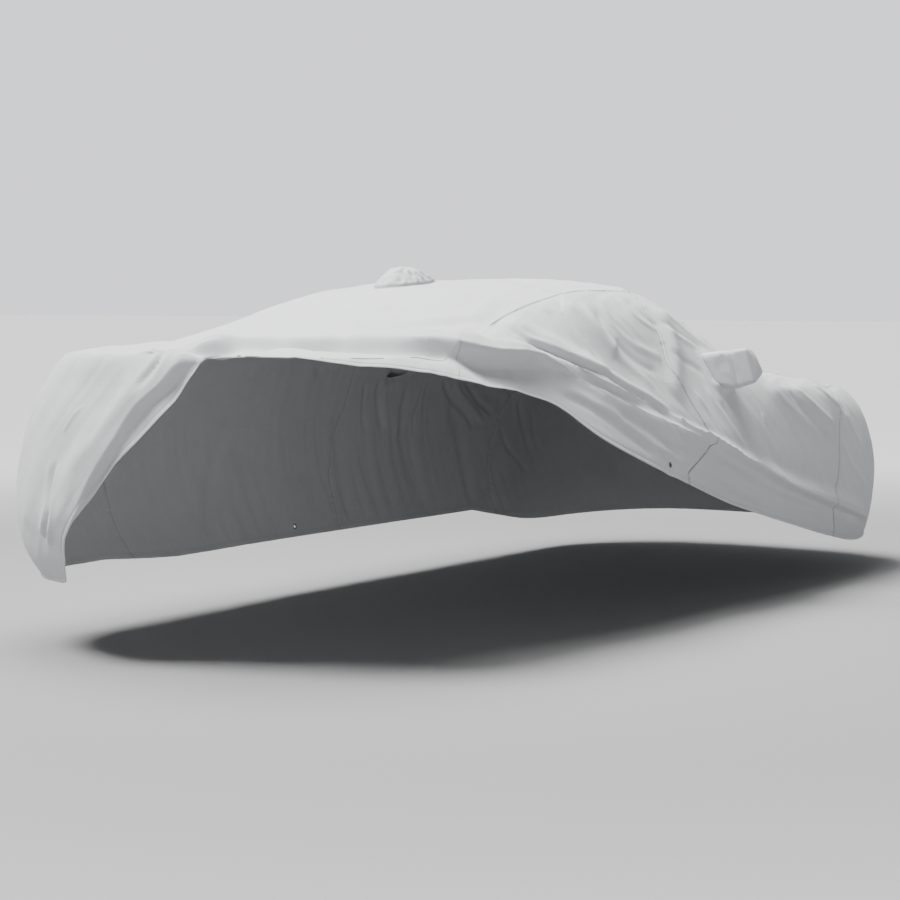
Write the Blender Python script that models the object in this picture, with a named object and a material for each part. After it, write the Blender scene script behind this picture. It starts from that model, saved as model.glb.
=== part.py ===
# A fitted outdoor cover, as it hangs with its right rear quarter folded up.
# +X is the right side, +Y points to the nose and +Z up. The origin is the rest point
# under the middle of the roof. Heights in the tables are taken from the floor.

import math

import bmesh
import bpy
import numpy as np
from mathutils import Matrix, Vector
from mathutils.bvhtree import BVHTree

for oldObject in list(bpy.data.objects):
    bpy.data.objects.remove(oldObject, do_unlink=True)

# Driving sizes in metres.
clothThickness = 0.0025
seamGap = 0.0003
restPoint = (0.0, -0.10, 1.3905)  # under side of the roof, which becomes the origin

topCells = 12  # cells across the top, from edge to edge
sideRows = 12  # cells down each side, of which the last are the band above the hem
bandRows = 5
bandWidth = 0.25
windowRows = 5
stripRows = 2
sideStep = 0.080  # length of a cell along the side, round the tail and round the nose
tailStep = 0.088
noseStep = 0.125

# Cross seams: where a panel ends along the length.
deckSeamY = -1.56
roofSeamY = -0.58
doorSeamY = -0.06
cowlSeamY = 0.95
frontSeamY = 1.32
eyeletY = -0.385
stripHalf = 0.055  # half the length of the strip that holds an eyelet

# The end caps begin where the straight sides stop.
tailStartY = -1.70
noseStartY = 1.50
tailTipX = 0.21  # the tail cloth stops here, where its two hems meet
tailRound = 3.0  # roundness of the plan: 2 is an ellipse and more is squarer
noseRound = 2.5
crownPower = 2.6
crownWidth = 0.35  # the top is flat at the tips and has its full crown from this half width on
tailBow = 0.14  # the threads across the deck bow forwards behind the tail's edge
bowWidth = 0.60
bowStartY = -2.25

# The half section at each place along the length, from the roof edge down.
sectionColumns = ("y", "edgeX", "edgeZ", "beltX", "beltZ", "waistX", "waistZ", "hemX", "hemZ")
sectionRows = (
    (-1.70, 0.745, 1.118, 0.862, 1.000, 0.957, 0.780, 0.893, 0.270),
    (-1.40, 0.665, 1.165, 0.870, 0.990, 0.958, 0.790, 0.890, 0.250),
    (-1.10, 0.605, 1.240, 0.855, 0.985, 0.957, 0.770, 0.900, 0.230),
    (-0.70, 0.575, 1.320, 0.840, 0.980, 0.957, 0.720, 0.920, 0.210),
    (-0.20, 0.565, 1.347, 0.840, 0.970, 0.958, 0.690, 0.930, 0.200),
    (0.08, 0.552, 1.330, 0.840, 0.965, 0.958, 0.690, 0.930, 0.190),
    (0.42, 0.592, 1.203, 0.845, 0.960, 0.957, 0.690, 0.930, 0.180),
    (0.72, 0.680, 1.025, 0.855, 0.950, 0.955, 0.690, 0.925, 0.170),
    (0.95, 0.770, 0.972, 0.880, 0.920, 0.955, 0.690, 0.920, 0.160),
    (1.20, 0.810, 0.945, 0.895, 0.890, 0.955, 0.690, 0.910, 0.150),
    (1.50, 0.805, 0.893, 0.885, 0.815, 0.945, 0.650, 0.905, 0.140),
)
lowRise = 0.105  # the cloth hangs nearly plumb down to here above the hem, then is drawn in
lowInset = 0.006
edgeInside = 0.12  # the line down a side comes from this far inside the roof edge, and over it
edgeOver = 0.035
sideSamples = 240  # steps of the fine line down a side
leastSkirt = 3  # a skirt shorter than this many steps is left out

# How far each level reaches past the end of the side, and its height at the tip.
capColumns = ("rail", "tailReach", "tailZ", "noseReach", "noseZ")
capRows = (
    ("edge", 0.700, 1.131, 0.555, 0.760),
    ("belt", 0.735, 1.000, 0.633, 0.680),
    ("waist", 0.778, 0.760, 0.716, 0.530),
    ("low", 0.776, 0.385, 0.722, 0.360),
    ("hem", 0.720, 0.285, 0.722, 0.190),
)

# The middle line of the top, from the tail to the nose.
crownColumns = ("y", "z")
crownRows = (
    (-2.40, 1.134),
    (-2.20, 1.148),
    (-2.00, 1.157),
    (-1.70, 1.175),
    (-1.40, 1.262),
    (-1.10, 1.347),
    (-0.70, 1.384),
    (-0.20, 1.394),
    (0.15, 1.392),
    (0.40, 1.340),
    (0.75, 1.130),
    (1.00, 1.010),
    (1.30, 0.970),
    (1.70, 0.910),
    (1.95, 0.840),
    (2.06, 0.765),
)

# Height of the right hem, which climbs from the nose to the deck.
rightHemColumns = ("y", "z")
rightHemRows = (
    (-2.42, 1.124),
    (-2.26, 1.098),
    (-2.12, 1.087),
    (-1.87, 1.056),
    (-1.56, 1.013),
    (-1.40, 0.992),
    (-1.23, 0.943),
    (-0.91, 0.784),
    (-0.58, 0.662),
    (-0.24, 0.559),
    (0.10, 0.459),
    (0.41, 0.386),
    (0.72, 0.318),
    (1.25, 0.210),
    (1.60, 0.156),
    (1.95, 0.165),
    (2.20, 0.190),
)

leftHemZ = 0.24

# The slanting hem across the tail: its height below each place across the waist.
tailHemColumns = ("x", "z")
tailHemRows = (
    (-0.523, 0.280),
    (-0.430, 0.370),
    (-0.377, 0.456),
    (-0.290, 0.550),
    (-0.150, 0.735),
    (-0.060, 0.815),
    (0.100, 0.970),
    (0.210, 1.140),
)

# Folds of the cloth: each route runs from the tail to the nose, or from top to bottom.
# A lap is a ridge with a groove along its upper side.
foldFadeIn = 0.18  # shares of the route over which a fold rises and dies away
foldFadeOut = 0.12
grooveAway = 1.1  # the groove's distance, width and depth, as shares of the ridge's
grooveWidth = 0.7
grooveDepth = 0.55
foldColumns = ("shape", "width", "height", "route")
foldRows = (
    ("lap", 0.058, 0.036, (
        (0.20, -1.78, 1.200), (0.58, -1.66, 1.185), (0.71, -1.52, 1.165), (0.78, -1.28, 1.115),
        (0.85, -1.00, 1.060), (0.93, -0.74, 0.965), (0.95, -0.50, 0.885), (0.957, -0.02, 0.712),
        (0.955, 0.80, 0.475), (0.92, 1.62, 0.305),
    )),
    ("ridge", 0.060, 0.022, ((0.62, -1.12, 1.252), (0.71, -0.98, 1.140), (0.84, -0.62, 1.000))),
    ("ridge", 0.058, 0.020, ((0.59, -0.67, 1.292), (0.66, -0.58, 1.190), (0.76, -0.48, 1.090))),
    ("ridge", 0.060, 0.020, ((0.60, 0.10, 1.270), (0.74, 0.00, 1.090), (0.88, -0.20, 0.900))),
    ("ridge", 0.055, 0.020, ((0.88, 0.66, 0.945), (0.945, 1.07, 0.815), (0.955, 1.28, 0.715))),
    ("ridge", 0.055, 0.018, ((0.50, -2.10, 1.130), (0.10, -2.20, 1.140), (-0.30, -2.10, 1.150))),
    ("ridge", 0.060, 0.024, ((0.02, -2.38, 1.070), (-0.20, -2.43, 0.880), (-0.52, -2.42, 0.420))),
    ("ridge", 0.055, 0.020, ((-0.32, -2.40, 1.000), (-0.57, -2.40, 0.700), (-0.68, -2.38, 0.450))),
)

# A mirror pocket is a sleeve and an end piece. Its corners are seen from the side, as y and z:
# rear top, front top, front bottom and rear bottom.
pocketMouth = ((0.215, 1.082), (0.375, 1.070), (0.380, 0.952), (0.180, 0.938))
pocketEnd = ((0.188, 1.112), (0.245, 1.095), (0.305, 1.000), (0.195, 0.955))
mouthRound = 0.035
endRound = 0.016
pocketEndX = 1.048
sleeveTuck = 0.009  # the sleeve runs this far past the cloth on both sides
sleeveSteps = (0.33, 0.67, 1.0)  # rings between the mouth and the end
endCrown = 0.012  # the end piece bulges this far
endShoulder = 0.55  # its flatter middle, as a share of its outline
shoulderDrop = 0.003
mouthCutter = (0.60, 0.995)  # from inside the cloth to outside it, along X

# The antenna pocket is a pointed dome: half width along its length.
domeColumns = ("y", "halfWidth")
domeRows = ((-1.030, 0.018), (-1.010, 0.048), (-0.950, 0.082), (-0.860, 0.078), (-0.760, 0.045),
            (-0.660, 0.006))
domePeakY = -0.905
domeHeight = 0.062
domeRings = (0.93, 0.78, 0.56, 0.30)
domePower = 2.4
domeTip = 0.004
domeSteps = 13
antennaCutter = (1.20, 1.50)  # from under the cloth to over it, along Z

# Eyelets: a rolled ring through a hole near the hem.
eyeletHole = 0.007
eyeletBarrel = 0.0086
eyeletFlange = 0.0130
flangeThickness = 0.0010
clothClearance = 0.0005
eyeletRise = 0.045  # the hole's middle above the hem
roundSteps = 16
holeCutterHalf = 0.02

clothColour = (0.780, 0.795, 0.800, 1.0)
eyeletColour = (0.300, 0.310, 0.320, 1.0)


def columnOf(columns, rows, name):
    return np.array([row[columns.index(name)] for row in rows])


def throughPoints(knots, values, at):
    """Smooth curve through the values at the knots, with slopes that don't overshoot."""
    knots = np.asarray(knots, float)
    values = np.asarray(values, float)
    at = np.clip(np.asarray(at, float), knots[0], knots[-1])
    flat = values.reshape(len(knots), -1)
    steps = np.diff(knots)[:, None]
    rise = np.diff(flat, axis=0) / steps
    slopes = np.empty_like(flat)
    slopes[0] = rise[0]
    slopes[-1] = rise[-1]
    slopes[1:-1] = (rise[:-1] * steps[1:] + rise[1:] * steps[:-1]) / (steps[1:] + steps[:-1])
    index = np.clip(np.searchsorted(knots, at, side="right") - 1, 0, len(knots) - 2)
    width = np.diff(knots)[index]
    t = ((at - knots[index]) / width)[..., None]
    width = width[..., None]
    result = (
        (2 * t**3 - 3 * t**2 + 1) * flat[index]
        + (t**3 - 2 * t**2 + t) * width * slopes[index]
        + (3 * t**2 - 2 * t**3) * flat[index + 1]
        + (t**3 - t**2) * width * slopes[index + 1]
    )
    return result.reshape(at.shape + values.shape[1:])


def smoothStep(t):
    t = np.clip(t, 0.0, 1.0)
    return t * t * (3 - 2 * t)


def sectionAt(y):
    knots = columnOf(sectionColumns, sectionRows, "y")
    values = np.array(sectionRows)[:, 1:]
    edgeX, edgeZ, beltX, beltZ, waistX, waistZ, hemX, hemZ = throughPoints(knots, values, y)
    return {
        "edge": (edgeX, edgeZ),
        "belt": (beltX, beltZ),
        "waist": (waistX, waistZ),
        "low": (waistX - lowInset, hemZ + lowRise),
        "hem": (hemX, hemZ),
    }


def capFractions(angle, roundness):
    across = max(math.cos(angle), 0.0) ** (2 / roundness)
    along = max(math.sin(angle), 0.0) ** (2 / roundness)
    return across, along


def railsAt(station, side):
    """The five levels of one side at a station: edge, belt, waist, low and hem."""
    zone, value = station
    points = []
    if zone == "side":
        section = sectionAt(value)
        return np.array([(side * x, value, z) for x, z in section.values()])
    start = tailStartY if zone == "tail" else noseStartY
    roundness = tailRound if zone == "tail" else noseRound
    section = sectionAt(start)
    across, along = capFractions(value, roundness)
    for rail, tailReach, tailZ, noseReach, noseZ in capRows:
        x, z = section[rail]
        middle = tailTipX if zone == "tail" else 0.0
        reach = -tailReach if zone == "tail" else noseReach
        tipZ = tailZ if zone == "tail" else noseZ
        points.append((middle + (side * x - middle) * across, start + reach * along,
                       z + (tipZ - z) * (1 - across)))
    return np.array(points)


def sideCurve(station, side):
    """A fine line down one side, from the roof edge to the lowest hem."""
    rails = railsAt(station, side)
    outward = rails[2] - rails[0]
    outward[2] = 0.0
    length = np.linalg.norm(outward)
    outward = outward / length if length > 1e-6 else np.array((0.0, 1.0, 0.0))
    inner = rails[0] - edgeInside * outward + np.array((0.0, 0.0, edgeOver))
    control = np.vstack([inner, rails])
    knots = np.concatenate([[0.0], np.cumsum(np.linalg.norm(np.diff(control, axis=0), axis=1))])
    return throughPoints(knots, control, np.linspace(knots[1], knots[-1], sideSamples))


def hemHeight(station, side, edge):
    knots = columnOf(rightHemColumns, rightHemRows, "y")
    height = float(throughPoints(knots, columnOf(rightHemColumns, rightHemRows, "z"), edge[1]))
    if side > 0:
        return height
    if station[0] != "tail" or edge[0] < tailHemRows[0][0] - 0.02:
        return min(leftHemZ, height)
    knots = columnOf(tailHemColumns, tailHemRows, "x")
    return float(np.interp(edge[0], knots, columnOf(tailHemColumns, tailHemRows, "z")))


def spaced(line, fractions):
    """Points of a line at shares of its length."""
    lengths = np.concatenate([[0.0], np.cumsum(np.linalg.norm(np.diff(line, axis=0), axis=1))])
    at = np.asarray(fractions) * lengths[-1]
    return np.stack([np.interp(at, lengths, line[:, axis]) for axis in range(3)], axis=1)


def skirtColumn(station, side):
    """Points down one side at a station, from the roof edge to the hem that shows."""
    line = sideCurve(station, side)
    waist = railsAt(station, side)[2]
    cut = hemHeight(station, side, waist)
    kept = np.flatnonzero(line[:, 2] >= cut)
    last = kept[-1] if len(kept) else 0
    if last < leastSkirt:
        return np.repeat(line[:1], sideRows + 1, axis=0)
    line = line[: last + 1]
    length = np.linalg.norm(np.diff(line, axis=0), axis=1).sum()
    band = min(bandWidth, 0.5 * length) / length
    upper = np.linspace(0.0, 1.0 - band, sideRows - bandRows + 1)
    lower = np.linspace(1.0 - band, 1.0, bandRows + 1)[1:]
    return spaced(line, np.concatenate([upper, lower]))


def topRow(left, right):
    """Points across the top between the two edges of a station."""
    share = np.linspace(-1.0, 1.0, topCells + 1)
    middle = (left + right) / 2
    half = (right - left) / 2
    points = middle + share[:, None] * half
    bow = tailBow * math.sin(min(half[0] / bowWidth, 1.0) * math.pi / 2)
    bow *= 1 - smoothStep((middle[1] - bowStartY) / (tailStartY - bowStartY))
    points[:, 1] += bow * (1 - share**2)
    knots = columnOf(crownColumns, crownRows, "y")
    crown = throughPoints(knots, columnOf(crownColumns, crownRows, "z"), points[:, 1])
    rise = (crown - middle[2]) * smoothStep(half[0] / crownWidth)
    points[:, 2] += rise * (1 - np.abs(share) ** crownPower)
    return points


def capAngles(zone, step):
    """Angles that split an end cap into cells of equal length along its waist."""
    angles = np.linspace(0.0, math.pi / 2, 400)
    waist = np.array([railsAt((zone, angle), -1)[2] for angle in angles])
    lengths = np.concatenate([[0.0], np.cumsum(np.linalg.norm(np.diff(waist, axis=0), axis=1))])
    count = round(lengths[-1] / step)
    return np.interp(np.linspace(0.0, lengths[-1], count + 1), lengths, angles)


def makeStations():
    """Every place along the length, from the tip of the tail to the tip of the nose."""
    stations = [("tail", angle) for angle in capAngles("tail", tailStep)[:0:-1]]
    stops = (tailStartY, deckSeamY, roofSeamY, eyeletY - stripHalf, eyeletY + stripHalf,
             doorSeamY, cowlSeamY, frontSeamY, noseStartY)
    for start, end in zip(stops[:-1], stops[1:]):
        count = max(1, round((end - start) / sideStep))
        stations += [("side", y) for y in np.linspace(start, end, count + 1)[:-1]]
    return stations + [("nose", angle) for angle in capAngles("nose", noseStep)]


def foldOffset(points, normals):
    """How far the folds lift each point of the cloth along its normal."""
    offset = np.zeros(len(points))
    for row in foldRows:
        fold = dict(zip(foldColumns, row))
        route = np.array(fold["route"])
        nearest = np.full(len(points), np.inf)
        signed = np.zeros(len(points))
        share = np.zeros(len(points))
        lengths = np.concatenate([[0.0], np.cumsum(np.linalg.norm(np.diff(route, axis=0), axis=1))])
        for index, (start, end) in enumerate(zip(route[:-1], route[1:])):
            run = end - start
            t = np.clip((points - start) @ run / (run @ run), 0.0, 1.0)
            away = points - (start + t[:, None] * run)
            distance = np.linalg.norm(away, axis=1)
            closer = distance < nearest
            upward = np.cross(normals, run / np.linalg.norm(run))
            nearest = np.where(closer, distance, nearest)
            signed = np.where(closer, (away * upward).sum(axis=1), signed)
            share = np.where(closer, (lengths[index] + t * (lengths[index + 1] - lengths[index]))
                             / lengths[-1], share)
        fade = smoothStep(share / foldFadeIn) * smoothStep((1 - share) / foldFadeOut)
        width, height = fold["width"], fold["height"]
        lift = height * np.exp(-((nearest / width) ** 2))
        if fold["shape"] == "lap":
            groove = np.exp(-(((signed - grooveAway * width) / (grooveWidth * width)) ** 2))
            near = np.exp(-((nearest / (2 * grooveAway * width)) ** 2))
            lift = lift - grooveDepth * height * groove * near
        offset += lift * fade
    return offset


def normalsOf(points, faces):
    normals = np.zeros_like(points)
    corners = points[faces]
    across = np.cross(corners[:, 1] - corners[:, 0], corners[:, 2] - corners[:, 0])
    for corner in range(3):
        np.add.at(normals, faces[:, corner], across)
    return normals / np.maximum(np.linalg.norm(normals, axis=1, keepdims=True), 1e-12)


class Sheet:
    """The whole cover as one grid: a row per station and a column from hem to hem."""

    def __init__(self):
        self.stations = makeStations()
        rows = []
        for station in self.stations:
            left = skirtColumn(station, -1)
            right = skirtColumn(station, 1)
            across = topRow(left[0], right[0])
            rows.append(np.vstack([left[:0:-1], across, right[1:]]))
        self.grid = np.array(rows)
        keys = np.round(self.grid.reshape(-1, 3) / 1e-5).astype(np.int64)
        _, first, index = np.unique(keys, axis=0, return_index=True, return_inverse=True)
        self.points = self.grid.reshape(-1, 3)[first]
        self.index = index.reshape(self.grid.shape[:2])
        self.leftEdge = sideRows
        self.rightEdge = sideRows + topCells
        self.cells = self.splitCells()
        allFaces = np.array([face for faces in self.cells.values() for face in faces])
        normals = normalsOf(self.points, allFaces)
        self.points = self.points + normals * foldOffset(self.points, normals)[:, None]
        self.flattenStrips()
        self.normals = normalsOf(self.points, allFaces)

    def flattenStrips(self):
        """The strips that hold the eyelets lie flat, so that the rings seat on them."""
        self.stripPlace = {}
        first = self.stationAt(eyeletY - stripHalf)
        for side in (1, -1):
            last = self.index.shape[1] - 1
            columns = np.arange(stripRows + 1)
            columns = last - columns if side > 0 else columns
            used = np.unique(self.index[first : first + 2, columns])
            middle = self.points[used].mean(axis=0)
            normal = np.linalg.svd(self.points[used] - middle)[2][2]
            normal *= np.sign(normal[0] * side)
            self.points[used] -= ((self.points[used] - middle) @ normal)[:, None] * normal
            hem = self.points[self.index[first : first + 2, columns[0]]].mean(axis=0)
            rise = np.cross(normal, np.cross(np.array((0.0, 0.0, 1.0)), normal))
            rise /= np.linalg.norm(rise)
            centre = hem + rise * eyeletRise
            along = np.cross(rise, normal)
            frame = np.eye(4)
            frame[:3, 0], frame[:3, 1], frame[:3, 2], frame[:3, 3] = rise, -along, normal, centre
            self.stripPlace[side] = Matrix(frame.tolist())

    def splitCells(self):
        """Two triangles for each cell of the grid, and fewer where it runs out."""
        cells = {}
        count, width = self.index.shape
        for i in range(count - 1):
            for j in range(width - 1):
                a, b = self.index[i, j], self.index[i, j + 1]
                c, d = self.index[i + 1, j + 1], self.index[i + 1, j]
                p = self.points
                if np.linalg.norm(p[a] - p[c]) <= np.linalg.norm(p[b] - p[d]):
                    faces = ((a, b, c), (a, c, d))
                else:
                    faces = ((a, b, d), (b, c, d))
                cells[i, j] = [face for face in faces if len(set(face)) == 3]
        return cells

    def stationAt(self, y):
        for i, (zone, value) in enumerate(self.stations):
            if zone == "side" and abs(value - y) < 1e-6:
                return i
        raise ValueError(f"no station at {y}")


def panelName(sheet, i, j):
    """The panel that a cell of the grid belongs to."""
    deck, roof = sheet.stationAt(deckSeamY), sheet.stationAt(roofSeamY)
    door, cowl = sheet.stationAt(doorSeamY), sheet.stationAt(cowlSeamY)
    front = sheet.stationAt(frontSeamY)
    if sheet.leftEdge <= j < sheet.rightEdge:
        if i < roof:
            return "deck_panel"
        return "roof_panel" if i < cowl else "hood_panel"
    side = "left" if j < sheet.leftEdge else "right"
    down = sheet.leftEdge - 1 - j if side == "left" else j - sheet.rightEdge
    if i >= front:
        return "nose_panel"
    if i >= door:
        return side + "_front_panel"
    if i < deck:
        return "tail_panel" if side == "left" else "deck_panel"
    first = sheet.stationAt(eyeletY - stripHalf)
    if i == first and down >= sideRows - stripRows:
        return side + "_eyelet_strip"
    return side + ("_window_panel" if down < windowRows else "_quarter_panel")


def closedSheet(name, points, faces, normals, colour, inset=0.0):
    """One closed sheet of cloth under the given triangles, with its rim drawn in."""
    used = np.unique(faces)
    place = {vertex: k for k, vertex in enumerate(used)}
    local = np.array([[place[vertex] for vertex in face] for face in faces])
    outer = points[used].copy()
    normals = normals[used]
    ends = np.concatenate([local[:, [0, 1]], local[:, [1, 2]], local[:, [2, 0]]])
    known = set(map(tuple, ends))
    rim = sorted(edge for edge in known if (edge[1], edge[0]) not in known)
    shift = np.zeros_like(outer)
    for a, b in rim:
        inward = np.cross(normals[a] + normals[b], outer[b] - outer[a])
        inward /= np.linalg.norm(inward)
        shift[a] += inward
        shift[b] += inward
    onRim = np.linalg.norm(shift, axis=1) > 1e-9
    mitre = np.maximum((shift[onRim] ** 2).sum(axis=1), 0.3)
    outer[onRim] += shift[onRim] / mitre[:, None] * (2 * inset)
    inner = outer - normals * clothThickness
    count = len(used)
    solidFaces = [tuple(face) for face in local]
    solidFaces += [(c + count, b + count, a + count) for a, b, c in local]
    for a, b in rim:
        # Both panels at a seam split the wall between them along the same diagonal.
        if used[a] < used[b]:
            solidFaces += [(b, a, b + count), (a, a + count, b + count)]
        else:
            solidFaces += [(b, a, a + count), (b, a + count, b + count)]
    return makeObject(name, np.vstack([outer, inner]), solidFaces, colour)


def clothMaterial(name, colour):
    material = bpy.data.materials.new(name)
    material.use_nodes = True
    shader = material.node_tree.nodes["Principled BSDF"]
    shader.inputs["Base Color"].default_value = colour
    shader.inputs["Roughness"].default_value = 0.85
    return material


def makeObject(name, points, faces, colour):
    mesh = bpy.data.meshes.new(name)
    shifted = np.asarray(points) - np.array(restPoint)
    mesh.from_pydata(shifted.tolist(), [], [tuple(map(int, face)) for face in faces])
    mesh.update()
    mesh.shade_smooth()
    mesh.materials.append(clothMaterial(name, colour))
    made = bpy.data.objects.new(name, mesh)
    bpy.context.scene.collection.objects.link(made)
    return made


def cutFrom(target, cutter):
    """Cuts a hidden helper out of a piece."""
    cutter.hide_render = True
    cutter.display_type = "WIRE"
    cut = target.modifiers.new(cutter.name, "BOOLEAN")
    cut.operation = "DIFFERENCE"
    cut.object = cutter


def makePanels(sheet):
    groups = {}
    for (i, j), faces in sheet.cells.items():
        groups.setdefault(panelName(sheet, i, j), []).extend(faces)
    return {
        name: closedSheet(name, sheet.points, faces, sheet.normals, clothColour, seamGap * 0.55)
        for name, faces in groups.items()
    }


def roundedOutline(corners, radius, steps=4):
    """A closed outline with round corners, from its corner points."""
    corners = np.array(corners)
    outline = []
    for k, corner in enumerate(corners):
        before = corners[k - 1] - corner
        after = corners[(k + 1) % len(corners)] - corner
        start = corner + radius * before / np.linalg.norm(before)
        end = corner + radius * after / np.linalg.norm(after)
        for t in np.linspace(0.0, 1.0, steps):
            outline.append((1 - t) ** 2 * start + 2 * t * (1 - t) * corner + t**2 * end)
    return np.array(outline)


def widened(outline, amount):
    """The outline moved outwards by an amount."""
    before = outline - np.roll(outline, 1, axis=0)
    after = np.roll(outline, -1, axis=0) - outline
    run = before / np.linalg.norm(before, axis=1, keepdims=True)
    run = run + after / np.linalg.norm(after, axis=1, keepdims=True)
    run /= np.linalg.norm(run, axis=1, keepdims=True)
    outward = np.stack([run[:, 1], -run[:, 0]], axis=1)
    area = (outline[:, 0] * np.roll(outline[:, 1], -1) - np.roll(outline[:, 0], -1) * outline[:, 1])
    return outline + (amount if area.sum() > 0 else -amount) * outward


def ringFaces(ringCount, ringSize, flip):
    """Triangles between rings of equal size, one after the other."""
    faces = []
    for ring in range(ringCount - 1):
        for k in range(ringSize):
            a = ring * ringSize + k
            b = ring * ringSize + (k + 1) % ringSize
            c, d = b + ringSize, a + ringSize
            faces += [(a, b, c), (a, c, d)]
    return np.array([face[::-1] for face in faces] if flip else faces)


def prism(name, outline, axis, low, high):
    """A straight cutter over an outline in the other two axes, along X or along Z."""
    rings = []
    for level in (low, high):
        column = np.full((len(outline), 1), level)
        rings.append(np.hstack([column, outline] if axis == "x" else [outline, column]))
    points = np.vstack(rings)
    size = len(outline)
    faces = [tuple(face) for face in ringFaces(2, size, False)]
    faces += [tuple(reversed(range(size))), tuple(range(size, 2 * size))]
    cutter = makeObject(name, points, faces, clothColour)
    mesh = bmesh.new()
    mesh.from_mesh(cutter.data)
    bmesh.ops.recalc_face_normals(mesh, faces=mesh.faces)
    mesh.to_mesh(cutter.data)
    mesh.free()
    return cutter


def outwardFaces(points, faces, middle):
    """The faces turned so that they point away from a middle point."""
    corners = points[faces]
    across = np.cross(corners[:, 1] - corners[:, 0], corners[:, 2] - corners[:, 0])
    away = (across * (corners.mean(axis=1) - middle)).sum()
    return faces if away > 0 else faces[:, ::-1]


def makeMirrorPocket(panels, side, surface):
    """The sleeve and end piece of one mirror pocket, and its mouth through the panel."""
    name = "right" if side > 0 else "left"
    mouth = roundedOutline(pocketMouth, mouthRound)
    end = roundedOutline(pocketEnd, endRound)
    hits = [surface.ray_cast(Vector((side * 1.5, y, z)), Vector((-side, 0, 0)))[0].x for y, z in mouth]
    inner = np.column_stack([np.array(hits) - side * (sleeveTuck + clothThickness), mouth])
    outer = np.column_stack([np.array(hits) + side * sleeveTuck, mouth])
    far = np.column_stack([np.full(len(end), side * pocketEndX), end])
    rings = [inner, outer] + [outer + (far - outer) * t for t in sleeveSteps]
    points = np.vstack(rings)
    faces = ringFaces(len(rings), len(mouth), False)
    middle = points.mean(axis=0)
    faces = outwardFaces(points, faces, middle)
    normals = normalsOf(points, faces)
    closedSheet(name + "_mirror_sleeve", points, faces, normals, clothColour)
    crown = np.column_stack([np.full(len(end), side * (pocketEndX + seamGap + clothThickness)), end])
    peak = crown.mean(axis=0) + np.array((side * endCrown, 0.0, 0.0))
    inside = peak + (crown - peak) * endShoulder - np.array((side * shoulderDrop, 0.0, 0.0))
    cap = np.vstack([crown, inside, peak])
    size = len(end)
    capFaces = list(map(tuple, ringFaces(2, size, False)))
    capFaces += [(size + k, size + (k + 1) % size, 2 * size) for k in range(size)]
    capFaces = outwardFaces(cap, np.array(capFaces), middle)
    flat = np.tile(np.array((side, 0.0, 0.0)), (len(cap), 1))
    closedSheet(name + "_mirror_end", cap, capFaces, flat, clothColour)
    reach = sorted(side * x for x in mouthCutter)
    cutter = prism(name + "_mouth_cutter", widened(mouth, seamGap), "x", *reach)
    cutFrom(panels[name + "_front_panel"], cutter)


def makeAntennaPocket(panels, surface):
    """The pointed dome at the back of the roof, and its mouth through the panel."""
    knots = columnOf(domeColumns, domeRows, "y")
    y = np.linspace(knots[0], knots[-1], domeSteps)
    half = throughPoints(knots, columnOf(domeColumns, domeRows, "halfWidth"), y)
    plan = np.vstack([np.column_stack([half, y]), np.column_stack([-half, y])[::-1]])
    peak = np.array((0.0, domePeakY))
    rings = []
    for share, lift in [(1.0, -sleeveTuck - clothThickness), (1.0, sleeveTuck)] + [
        (share, sleeveTuck + domeHeight * (1 - share**domePower)) for share in domeRings
    ]:
        ring = peak + (plan - peak) * share
        heights = [surface.ray_cast(Vector((x, y, 2)), Vector((0, 0, -1)))[0].z for x, y in ring]
        rings.append(np.column_stack([ring, np.array(heights) + lift]))
    top = np.array((*peak, rings[-1][:, 2].mean() + domeTip))
    points = np.vstack(rings + [top])
    size = len(plan)
    faces = list(map(tuple, ringFaces(len(rings), size, False)))
    last = (len(rings) - 1) * size
    faces += [(last + k, last + (k + 1) % size, len(points) - 1) for k in range(size)]
    faces = outwardFaces(points, np.array(faces), top - np.array((0, 0, domeHeight)))
    closedSheet("antenna_pocket", points, faces, normalsOf(points, faces), clothColour)
    cutter = prism("antenna_mouth_cutter", widened(plan, seamGap), "z", *antennaCutter)
    cutFrom(panels["deck_panel"], cutter)


def turned(name, profile, place, colour):
    """A closed profile of radius and height turned about the local Z axis."""
    rings = []
    for k in range(roundSteps):
        angle = math.tau * k / roundSteps
        rings.append([(r * math.cos(angle), r * math.sin(angle), z) for r, z in profile])
    size = len(profile)
    points = np.array(rings).reshape(-1, 3)
    faces = []
    for k in range(roundSteps):
        for m in range(size):
            a = k * size + m
            b = k * size + (m + 1) % size
            c = (k + 1) % roundSteps * size + (m + 1) % size
            d = (k + 1) % roundSteps * size + m
            faces.append((a, d, c, b))
    world = [place @ Vector(point) for point in points]
    made = makeObject(name, [tuple(point) for point in world], faces, colour)
    mesh = bmesh.new()
    mesh.from_mesh(made.data)
    bmesh.ops.recalc_face_normals(mesh, faces=mesh.faces)
    mesh.to_mesh(made.data)
    mesh.free()
    return made


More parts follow.
